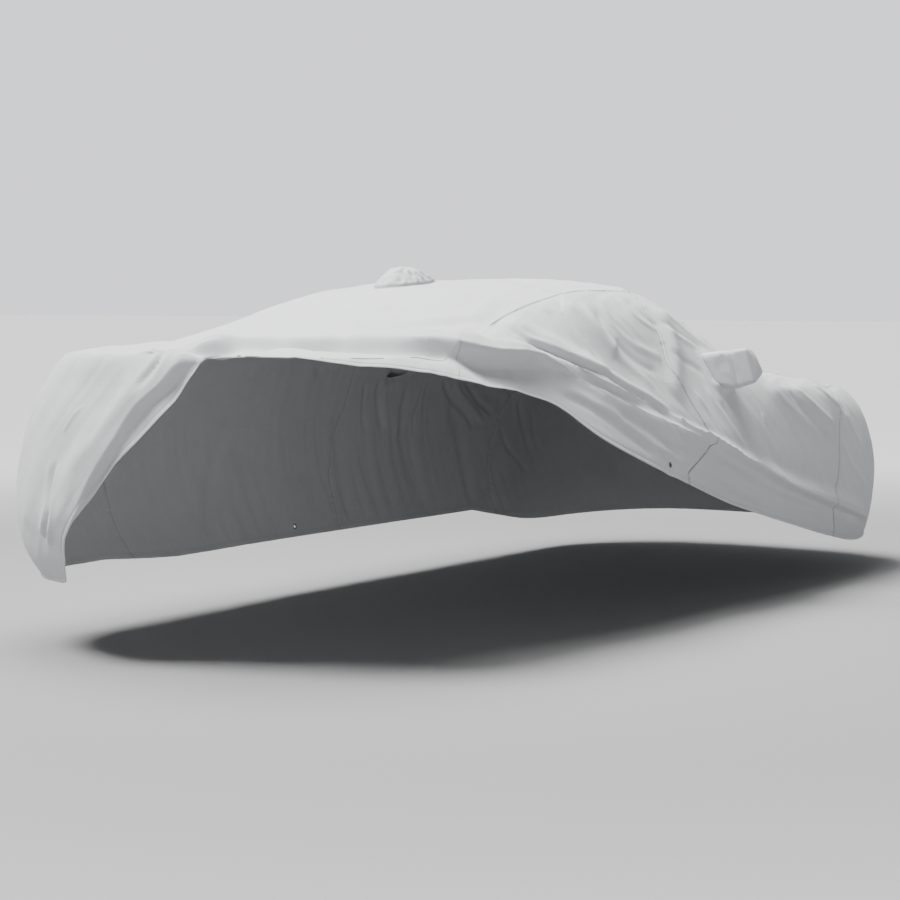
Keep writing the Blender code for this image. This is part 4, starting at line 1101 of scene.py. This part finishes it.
def clothMaterial():
    material = bpy.data.materials.new("cover_cloth")
    nodes, links, shader = nodesOf(material)
    shader.inputs["Sheen Weight"].default_value = clothLook["sheen"]
    shader.inputs["Sheen Roughness"].default_value = clothLook["sheenRoughness"]
    shader.inputs["Specular IOR Level"].default_value = clothLook["specular"]
    coordinates = nodes.new("ShaderNodeTexCoord")

    def noiseNode(scale, detail, roughness=0.5):
        made = nodes.new("ShaderNodeTexNoise")
        made.inputs["Scale"].default_value = scale
        made.inputs["Detail"].default_value = detail
        made.inputs["Roughness"].default_value = roughness
        links.new(coordinates.outputs["Object"], made.inputs["Vector"])
        return made

    def ramp(source, low, high):
        return rangeNode(material.node_tree, source, low, high, 0.3, 0.7).outputs["Result"]

    def mathNode(operation, first, second):
        made = nodes.new("ShaderNodeMath")
        made.operation = operation
        links.new(first, made.inputs[0])
        links.new(second, made.inputs[1])
        return made.outputs["Value"]

    patches = ramp(noiseNode(2.2, 3).outputs["Fac"], 1 - clothLook["patchShade"], 1.0)
    mottle = ramp(noiseNode(26, 4, 0.6).outputs["Fac"], 0.975, 1.015)
    fleck = ramp(noiseNode(420, 2, 0.7).outputs["Fac"], 0.965, 1.02)
    shade = mathNode("MULTIPLY", mathNode("MULTIPLY", patches, mottle), fleck)
    # the per-point darkening: painted shade at the seams, the pockets' joins and the antenna pocket, with
    # soil at the seams and the threads' own tone
    toneAndPaintedShade = nodes.new("ShaderNodeAttribute")
    toneAndPaintedShade.attribute_name = "seamShade"
    shade = mathNode("MULTIPLY", shade, toneAndPaintedShade.outputs["Fac"])
    colour = nodes.new("ShaderNodeMix")
    colour.data_type = "RGBA"
    colour.inputs["A"].default_value = (0.0, 0.0, 0.0, 1.0)
    colour.inputs["B"].default_value = (*clothLook["color"], 1.0)
    colour.clamp_factor = False
    links.new(shade, colour.inputs["Factor"])
    links.new(colour.outputs["Result"], shader.inputs["Base Color"])
    rough = ramp(noiseNode(60, 3).outputs["Fac"], clothLook["roughness"] - clothLook["roughChange"],
                 clothLook["roughness"] + clothLook["roughChange"])
    links.new(rough, shader.inputs["Roughness"])

    dots = nodes.new("ShaderNodeTexVoronoi")
    dots.inputs["Scale"].default_value = clothLook["dotScale"]
    links.new(coordinates.outputs["Object"], dots.inputs["Vector"])
    fibres = noiseNode(clothLook["fibreScale"], 3, 0.7)
    height = mathNode("ADD", dots.outputs["Distance"], fibres.outputs["Fac"])
    bumpNode(material.node_tree, height, shader, clothLook["fibreBump"], clothLook["fibreDepth"])
    return material


clothSurface = clothMaterial()

# each seam line is painted a little darker, partly as soil and partly as painted shade of its furrow, and
# so is the hem's stitched edge
seamNear = seamSide.reshape(-1)[firstSeen]
shadeOfPoint = 1 - clothLook["seamShade"] * np.exp(-((seamNear / clothLook["seamWidth"]) ** 2))
hemLine = np.exp(-(((hemAway - texture["hemStitch"]) / clothLook["hemWidth"]) ** 2))
shadeOfPoint -= clothLook["hemShade"] * hemLine


def addShade(made, values):
    attribute = made.data.attributes.new("seamShade", "FLOAT", "POINT")
    attribute.data.foreach_set("value", np.asarray(values, np.float32))


def closedSheet(name, faces):
    # a thin closed sheet under the given faces, its seamed rim drawn in by half the gap
    used, local = np.unique(faces, return_inverse=True)
    local = local.reshape(faces.shape)
    outer = points[used].copy()
    normal = normals[used]
    rim = rimOf(local)
    shift = np.zeros_like(outer)
    for a, b in rim:
        inward = np.cross(normal[a] + normal[b], outer[b] - outer[a])
        inward /= max(np.linalg.norm(inward), 1e-12)
        shift[a] += inward
        shift[b] += inward
    onRim = np.linalg.norm(shift, axis=1) > 1e-9
    mitre = np.maximum((shift[onRim] ** 2).sum(axis=1), 0.3)
    outer[onRim] += shift[onRim] / mitre[:, None] * cloth["seamGap"]
    thick = cloth["thickness"] + hemBead[used]
    inner = outer - normal * thick[:, None]
    count = len(used)
    solid = []
    for face in local.tolist():
        kept = list(dict.fromkeys(face))
        solid.append(kept)
        solid.append([vertex + count for vertex in reversed(kept)])
    for a, b in rim.tolist():
        solid.append([b, a, a + count, b + count])
    made = objectFrom(name, np.vstack([outer, inner]), solid, clothSurface)
    addShade(made, np.concatenate([shadeOfPoint[used]] * 2))
    return made


def panelOf():
    # the panel that each cell belongs to
    top = (cellJ >= leftEdge) & (cellJ < rightEdge)
    onLeft = cellJ < leftEdge
    cellsDown = np.where(onLeft, leftEdge - 1 - cellJ, cellJ - rightEdge)
    down = np.maximum(cellsDown - 1, 0) // cloth["sideFiner"]
    name = np.full(len(quads), "", dtype=object)
    name[top & (cellI < seamAt["roof"])] = "deck"
    name[top & (cellI >= seamAt["roof"]) & (cellI < seamAt["cowl"])] = "roof"
    name[top & (cellI >= seamAt["cowl"])] = "hood"
    flank = ~top
    name[flank & (cellI >= seamAt["front"])] = "nose"
    for side, there in (("left", onLeft), ("right", ~onLeft)):
        here = flank & there
        name[here & (cellI >= seamAt["door"]) & (cellI < seamAt["front"])] = side + "_front"
        middle = here & (cellI >= seamAt["deck"]) & (cellI < seamAt["door"])
        name[middle & (down < windowRows)] = side + "_window"
        name[middle & (down >= windowRows)] = side + "_quarter"
        name[here & (cellI < seamAt["deck"])] = "tail" if side == "left" else "deck"
    return name


panels = ("deck", "roof", "hood", "nose", "tail", "left_window", "right_window", "left_quarter",
          "right_quarter", "left_front", "right_front")
replaced = {name: (name + "_panel",) for name in panels}
for side in ("left", "right"):
    replaced[side + "_quarter"] += (side + "_eyelet_strip",)
panelNames = panelOf()


for name, nodes in replaced.items():
    here = (panelNames == name) & ~openFaces
    panel = closedSheet(name + "_cloth", quads[here])
    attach(panel, "root")
    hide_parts(*nodes)

print("stage: stitches")

stitch = {"pitch": 0.0064, "length": 0.0042, "width": 0.0009, "height": 0.0007, "sunk": 0.0002,
          "lean": 0.0009, "longestStep": 0.09, "shade": 0.86, "hemClear": 0.012}


def stitchRow(route, outward):
    # short raised threads along a line on the cloth
    step = np.linalg.norm(np.diff(route, axis=0), axis=1)
    kept = np.concatenate([[True], (step > 1e-5) & (step < stitch["longestStep"])])
    route, outward = route[kept], outward[kept]
    lengths = alongLine(route)
    vertices, faces = [], []
    for start in np.arange(stitch["pitch"], lengths[-1] - stitch["pitch"], stitch["pitch"]):
        ends = np.array((start, start + stitch["length"]))
        spots = np.stack([np.interp(ends, lengths, route[:, axis]) for axis in range(3)], axis=1)
        run = spots[1] - spots[0]
        length = np.linalg.norm(run)
        if length < 0.5 * stitch["length"]:
            continue
        run /= length
        up = np.array([np.interp(start, lengths, outward[:, axis]) for axis in range(3)])
        up /= np.linalg.norm(up)
        across = np.cross(up, run) * stitch["width"] / 2
        first = len(vertices)
        for spot, lean in ((spots[0], 1), (spots[1], -1)):
            foot = spot - stitch["sunk"] * up
            vertices += [foot - across, foot + across,
                         spot + run * lean * stitch["lean"] + up * stitch["height"]]
        faces += [(first, first + 2, first + 1), (first + 3, first + 4, first + 5),
                  (first, first + 3, first + 5, first + 2), (first + 1, first + 2, first + 5, first + 4),
                  (first, first + 1, first + 4, first + 3)]
    return vertices, faces


def stitchMesh(name, routes):
    vertices, faces = [], []
    for route, outward in routes:
        if len(route) < 2:
            continue
        newVertices, newFaces = stitchRow(route, outward)
        faces += [tuple(vertex + len(vertices) for vertex in face) for face in newFaces]
        vertices += newVertices
    made = objectFrom(name, np.array(vertices), faces, clothSurface, 80)
    addShade(made, np.full(len(vertices), stitch["shade"]))
    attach(made, "root")
    print("stitches", name, "faces", len(faces))


def routeOn(rowPart, columnPart):
    spots = np.atleast_1d(index[rowPart, columnPart])
    return points[spots], normals[spots]


seamRoutes = []
topRun = (slice(leftEdge, rightEdge + 1),)
sideRuns = (slice(0, leftEdge + 1), slice(rightEdge, grid.shape[1]))
for name in seamAt:
    for run in topRun if name in topSeams else sideRuns:
        seamRoutes.append(routeOn(seamAt[name] - 1, run))
        seamRoutes.append(routeOn(seamAt[name] + 2, run))
edgeRows = slice(int(np.argmax(edgePlaces[:, 1] > edgeSeamStart)), len(stations) - 6)
for column in (leftEdge - 1, leftEdge + 1, rightEdge - 1, rightEdge + 1):
    seamRoutes.append(routeOn(edgeRows, column))
beltColumn = rightEdge + 1 + windowRows * cloth["sideFiner"]
seamRoutes.append(routeOn(slice(seamAt["deck"], seamAt["door"]), beltColumn))
stitchMesh("seam_stitching", seamRoutes)
hemColumn = len(cloth["hemRows"]) - cloth["hemRows"].index(texture["hemStitch"])
hemRoutes = []
for column in (hemColumn, grid.shape[1] - 1 - hemColumn):
    spots = index[:, column]
    spots = spots[hemAway[spots] > stitch["hemClear"]]
    hemRoutes.append((points[spots], normals[spots]))
stitchMesh("hem_stitching", hemRoutes)

print("stage: pockets")
surface = BVHTree.FromPolygons(points.tolist(), [list(dict.fromkeys(quad)) for quad in quads.tolist()])


def fourCornered(faces):
    # a triangle repeats its first corner
    return np.array([face if len(face) == 4 else (*face, face[0]) for face in faces])


def thinShell(name, vertices, faces, thickness, shade):
    # a closed thin sheet from an open mesh of quads or triangles
    vertices = np.asarray(vertices, float)
    padded = fourCornered(faces)
    normal = normalsOf(vertices, padded)
    count = len(vertices)
    solid = [list(dict.fromkeys(face)) for face in padded.tolist()]
    solid += [[vertex + count for vertex in reversed(face)] for face in solid]
    for a, b in rimOf(padded).tolist():
        solid.append([b, a, a + count, b + count])
    shell = objectFrom(name, np.vstack([vertices, vertices - normal * thickness]), solid, clothSurface)
    addShade(shell, np.concatenate([shade] * 2))
    return shell


def ringQuads(ringCount, size):
    faces = []
    for ring in range(ringCount - 1):
        for k in range(size):
            a, b = ring * size + k, ring * size + (k + 1) % size
            faces.append((a, b, b + size, a + size))
    return faces


def tipFan(ringCount, size):
    # triangles from the last ring to one point after it
    last = (ringCount - 1) * size
    return [(last + k, last + (k + 1) % size, last + size) for k in range(size)]


def mirrorPocket(side):
    name = "right" if side > 0 else "left"
    shoulder = roundedOutline(pocket["shoulder"], pocket["shoulderRound"])
    end = roundedOutline(pocket["end"], pocket["endRound"])
    endX = side * (pocket["endX"] - pocket["endLean"] * (end[:, 1] - end[:, 1].min()))
    base = []
    for y, z in mouth:
        hit = surface.ray_cast(Vector((side * 1.5, y, z)), Vector((-side, 0, 0)))[0]
        base.append(hit.x if hit is not None else side * pocket["flank"])
    base = np.array(base) + side * pocket["tuck"] * pocket["foot"]
    rings = [np.column_stack([base - side * pocket["footInside"], mouth])]
    shares = np.concatenate([[0.0], np.linspace(0.02, 0.965, pocket["rings"]), (0.98, 0.99, 1.0)])
    size = len(mouth)
    toShoulder = np.clip(shares / pocket["shoulderAt"], 0, 1)[:, None, None]
    toEnd = np.clip((shares - pocket["shoulderAt"]) / (1 - pocket["shoulderAt"]), 0, 1)[:, None, None]
    outlines = mouth + (shoulder - mouth) * toShoulder + (end - shoulder) * toEnd
    for t, outline in zip(shares, outlines):
        middle = outline.mean(axis=0)
        drawnIn = smoothStep((t - (1 - pocket["endStretch"])) / pocket["endStretch"]) ** 2
        outline = middle + (outline - middle) * (1 - pocket["endDraw"] * drawnIn)
        outline[:, 1] -= pocket["sag"] * math.sin(math.pi * t)
        rings.append(np.column_stack([base + (endX - base) * t, outline]))
    rimOutline = rings[-1]
    shares = np.concatenate([[0.0], shares])
    vertices = np.vstack(rings)
    faces = ringQuads(len(rings), size)
    centre = vertices.mean(axis=0)
    quad = np.array(faces)
    corners = vertices[quad]
    away = (np.cross(corners[:, 2] - corners[:, 0], corners[:, 3] - corners[:, 1])
            * (corners.mean(axis=1) - centre)).sum()
    if away < 0:
        faces = [face[::-1] for face in faces]
    normal = normalsOf(vertices, np.array(faces))
    shift = Vector((3.1 * side, 5.0, 1.0))
    coarse, fine = pocket["rippleScales"]
    ripple = noiseAt(vertices, coarse, shift) + 0.5 * noiseAt(vertices, fine, -shift)
    fade = np.repeat(np.clip(1.2 - 2 * np.abs(shares - 0.5), 0.15, 1), size)
    folds = pocket["ripple"] * ripple * fade
    for y, x, z, lean, depth in pocket["creases"]:
        off = np.abs(vertices[:, 0] * side - x - lean * (vertices[:, 2] - z)) / pocket["creaseWidth"]
        folds -= depth * np.exp(-off) * (vertices[:, 1] < y) * fade
    vertices = vertices + normal * folds[:, None]
    alongSleeve = np.repeat(shares, size)
    # painted shade: the sleeve is darker at its mouth and at its end, where it is sewn to the cloth and to
    # the end piece
    shade = np.ones(len(vertices))
    for key, away in (("mouthShade", alongSleeve), ("endShade", 1 - alongSleeve)):
        darker, stretch = pocket[key]
        shade -= darker * np.exp(-((away / stretch) ** 2))
    sleeve = thinShell(name + "_pocket_sleeve", vertices, faces, cloth["thickness"], shade)
    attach(sleeve, "root")
    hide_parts(name + "_mirror_sleeve")

    rim = rimOutline + np.array((side * cloth["seamGap"], 0.0, 0.0))
    levels = pocket["capLevels"]
    peak = rim.mean(axis=0)
    cap = []
    for level in levels:
        ring = peak + (rim - peak) * level
        ring[:, 0] += side * pocket["crown"] * (1 - level ** pocket["capPower"])
        cap.append(ring)
    cap.append((peak + np.array((side * pocket["crown"], 0, 0)))[None])
    vertices = np.vstack(cap)
    faces = ringQuads(len(levels), size) + tipFan(len(levels), size)
    padded = fourCornered(faces)
    if (normalsOf(vertices, padded)[:, 0] * side).sum() < 0:
        faces = [face[::-1] for face in faces]
    endPiece = thinShell(name + "_pocket_end", vertices, faces, cloth["thickness"], np.ones(len(vertices)))
    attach(endPiece, "root")
    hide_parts(name + "_mirror_end")


for side in (1, -1):
    mirrorPocket(side)


def antennaPocket():
    knots = np.array(dome["plan"])
    y = np.linspace(knots[0, 0], knots[-1, 0], dome["steps"])
    half = throughPoints(knots[:, 0], knots[:, 1], y)
    plan = np.vstack([np.column_stack([half, y]), np.column_stack([-half, y])[::-1]])
    peak = np.array((0.0, dome["peakY"]))
    rings = []
    levels = list(dome["foot"])
    for share in np.linspace(*dome["sides"], dome["rings"]):
        levels.append((share, dome["tuck"] + dome["height"] * (1 - share ** dome["power"])))
    for share, rise in levels:
        ring = peak + (plan - peak) * share
        heights = []
        for x, along in ring:
            heights.append(surface.ray_cast(Vector((x, along, 2)), Vector((0, 0, -1)))[0].z)
        rings.append(np.column_stack([ring, np.array(heights) + rise]))
    top = np.array((*peak, rings[-1][:, 2].mean() + dome["tip"]))
    vertices = np.vstack(rings + [top[None]])
    size = len(plan)
    faces = ringQuads(len(rings), size) + tipFan(len(rings), size)
    padded = fourCornered(faces)
    if normalsOf(vertices, padded)[:, 2].sum() < 0:
        faces = [face[::-1] for face in faces]
        padded = fourCornered(faces)
    normal = normalsOf(vertices, padded)
    coarse, fine = dome["rippleScales"]
    ripple = noiseAt(vertices, coarse) + 0.3 * noiseAt(vertices, fine)
    shares = np.append(np.repeat([level[0] for level in levels], size), 0.0)
    fade = smoothStep((1 - shares) / 0.12)
    turn = np.arctan2(vertices[:, 1] - dome["peakY"], vertices[:, 0])
    gathers = np.sin(dome["gathers"] * turn + 2 * ripple) * smoothStep((shares - 0.45) / 0.3)
    folds = dome["crumple"] * ripple + dome["gatherRise"] * gathers
    for x, y, reach, depth in dome["dents"]:
        away = np.hypot(vertices[:, 0] - x, vertices[:, 1] - y) / reach
        folds -= depth * (np.exp(-(away**2)) - 0.5 * np.exp(-((away - 1.6) ** 2) * 3))
    vertices = vertices + normal * (folds * fade)[:, None]
    # painted shade along the foot and in the dents
    darker, stretch = dome["footShade"]
    shade = dome["shade"] - darker * np.exp(-(((shares - 1.0) / stretch) ** 2))
    darker, depth = dome["dentShade"]
    shade -= darker * smoothStep(-folds / depth)
    made = thinShell("antenna_pocket_cloth", vertices, faces, cloth["thickness"], shade)
    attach(made, "root")
    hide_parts("antenna_pocket")


antennaPocket()

print("stage: eyelets")

metalLook = {"color": (0.17, 0.175, 0.18), "roughness": 0.42, "smoother": 0.1, "rougher": 0.15,
             "metallic": 0.85, "speckleScale": 500, "bump": 0.15, "bumpDepth": 0.0002}


def metalMaterial():
    material = bpy.data.materials.new("eyelet_metal")
    nodes, links, shader = nodesOf(material)
    shader.inputs["Metallic"].default_value = metalLook["metallic"]
    shader.inputs["Base Color"].default_value = (*metalLook["color"], 1.0)
    coordinates = nodes.new("ShaderNodeTexCoord")
    speckle = nodes.new("ShaderNodeTexNoise")
    speckle.inputs["Scale"].default_value = metalLook["speckleScale"]
    links.new(coordinates.outputs["Object"], speckle.inputs["Vector"])
    grain = speckle.outputs["Fac"]
    rough = rangeNode(material.node_tree, grain, metalLook["roughness"] - metalLook["smoother"],
                      metalLook["roughness"] + metalLook["rougher"])
    links.new(rough.outputs["Result"], shader.inputs["Roughness"])
    bumpNode(material.node_tree, grain, shader, metalLook["bump"], metalLook["bumpDepth"])
    return material


metalSurface = metalMaterial()


def eyeletRing(name):
    middle, normal = eyeletPlace(name)
    side = np.cross((0.0, 0.0, 1.0), normal)
    side /= np.linalg.norm(side)
    up = np.cross(normal, side)
    back = -cloth["thickness"] - eyelet["clear"] - eyelet["flangeThick"]
    profile = []
    # the front flange is rolled: a half round from the hole to its outer edge
    middleRadius = (eyelet["hole"] + eyelet["flange"]) / 2
    halfWidth = (eyelet["flange"] - eyelet["hole"]) / 2
    for angle in np.linspace(0, math.pi, eyelet["rolled"]):
        rise = eyelet["flangeThick"] * (0.35 + 0.65 * math.sin(angle))
        profile.append((middleRadius - halfWidth * math.cos(angle), eyelet["clear"] + rise))
    profile += [(eyelet["flange"], eyelet["clear"]), (eyelet["barrel"], eyelet["clear"]),
                (eyelet["barrel"], back + eyelet["flangeThick"]),
                (eyelet["flange"], back + eyelet["flangeThick"]), (eyelet["flange"], back),
                (eyelet["hole"] + eyelet["corner"], back), (eyelet["hole"], back + eyelet["corner"])]
    steps = eyelet["steps"]
    vertices = []
    for k in range(steps):
        angle = math.tau * k / steps
        around = math.cos(angle) * side + math.sin(angle) * up
        for radius, height in profile:
            vertices.append(middle + radius * around + height * normal)
    size = len(profile)
    faces = []
    for k in range(steps):
        for m in range(size):
            a, b = k * size + m, k * size + (m + 1) % size
            c, d = (k + 1) % steps * size + (m + 1) % size, (k + 1) % steps * size + m
            faces.append((a, d, c, b))
    made = objectFrom(name + "_ring", np.array(vertices), faces, metalSurface, 40)
    shape = bmesh.new()
    shape.from_mesh(made.data)
    bmesh.ops.recalc_face_normals(shape, faces=shape.faces)
    shape.to_mesh(made.data)
    shape.free()
    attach(made, "root")
    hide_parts(name)


for name in ("right_eyelet", "left_eyelet"):
    eyeletRing(name)

print("stage: floor, light and camera")

studio = {
    "floorSize": 160.0,
    "floorRoughness": 0.9,
    "floorNear": 0.25,  # the floor is greyer close to the cover, so that it throws less light up
    "floorFar": 0.60,
    "nearReach": 3.5,
    "farReach": 9.0,
    "skyColor": (0.95, 0.96, 1.0),
    "skyAbove": 0.26,
    "skyBand": 1.35,
    "bandTop": 0.24,  # sine of the height to which the pale band above the horizon reaches
    "sunPower": 7.4,
    "sunSpread": 0.42,
    "sunFrom": (-0.34, -0.34, 1.0),
    "lights": (
        # name, size, power, place, target
        ("overhead", 5.0, 650.0, (-0.5, -1.0, 4.6), (0.0, -0.1, -0.3)),
    ),
}

floorMesh = bpy.data.meshes.new("floor")
half = studio["floorSize"] / 2
floorMesh.from_pydata([(-half, -half, -restPoint[2]), (half, -half, -restPoint[2]),
                       (half, half, -restPoint[2]), (-half, half, -restPoint[2])], [], [(0, 1, 2, 3)])
floor = bpy.data.objects.new("floor", floorMesh)
bpy.context.scene.collection.objects.link(floor)
floorMaterial = bpy.data.materials.new("floor")
floorNodes, floorLinks, floorShader = nodesOf(floorMaterial)
floorShader.inputs["Roughness"].default_value = studio["floorRoughness"]
floorPlace = floorNodes.new("ShaderNodeTexCoord")
floorAway = floorNodes.new("ShaderNodeVectorMath")
floorAway.operation = "LENGTH"
floorLinks.new(floorPlace.outputs["Object"], floorAway.inputs[0])
floorShade = rangeNode(floorMaterial.node_tree, floorAway.outputs["Value"], studio["floorNear"],
                       studio["floorFar"], studio["nearReach"], studio["farReach"])
floorShade.interpolation_type = "SMOOTHSTEP"
floorLinks.new(floorShade.outputs["Result"], floorShader.inputs["Base Color"])
floorMesh.materials.append(floorMaterial)

world = bpy.data.worlds.new("studio")
world.use_nodes = True
skyNodes, skyLinks = world.node_tree.nodes, world.node_tree.links
skyNodes["Background"].inputs["Color"].default_value = (*studio["skyColor"], 1)
direction = skyNodes.new("ShaderNodeTexCoord")
split = skyNodes.new("ShaderNodeSeparateXYZ")
skyLinks.new(direction.outputs["Generated"], split.inputs["Vector"])
band = rangeNode(world.node_tree, split.outputs["Z"], studio["skyBand"], studio["skyAbove"],
                 0.5 * studio["bandTop"], studio["bandTop"])
band.interpolation_type = "SMOOTHSTEP"
skyLinks.new(band.outputs["Result"], skyNodes["Background"].inputs["Strength"])
bpy.context.scene.world = world

for name, size, power, place, target in studio["lights"]:
    data = bpy.data.lights.new(name, "AREA")
    data.shape = "DISK"
    data.size = size
    data.energy = power
    lamp = bpy.data.objects.new(name, data)
    lamp.location = place
    lamp.rotation_euler = (Vector(target) - Vector(place)).to_track_quat("-Z", "Y").to_euler()
    bpy.context.scene.collection.objects.link(lamp)

sunData = bpy.data.lights.new("sky_soft", "SUN")
sunData.energy = studio["sunPower"]
sunData.angle = studio["sunSpread"]
sun = bpy.data.objects.new("sky_soft", sunData)
sun.rotation_euler = Vector(studio["sunFrom"]).to_track_quat("Z", "Y").to_euler()
bpy.context.scene.collection.objects.link(sun)

view = {"place": (5.233, -8.327, -0.0345), "turn": 33.56, "tilt": -4.09, "lens": 90.04, "sensor": 36.0}
cameraData = bpy.data.cameras.new("camera")
cameraData.lens = view["lens"]
cameraData.sensor_width = view["sensor"]
cameraData.clip_end = 200.0
camera = bpy.data.objects.new("camera", cameraData)
camera.location = view["place"]
camera.rotation_euler = (math.radians(90 + view["tilt"]), 0.0, math.radians(view["turn"]))
bpy.context.scene.collection.objects.link(camera)
bpy.context.scene.camera = camera

triangles = {made.name: sum(len(face.vertices) - 2 for face in made.data.polygons)
             for made in bpy.context.scene.objects if made.type == "MESH" and len(made.data.polygons) > 500}
print("triangles", sum(triangles.values()), sorted(triangles.items(), key=lambda item: -item[1])[:6])
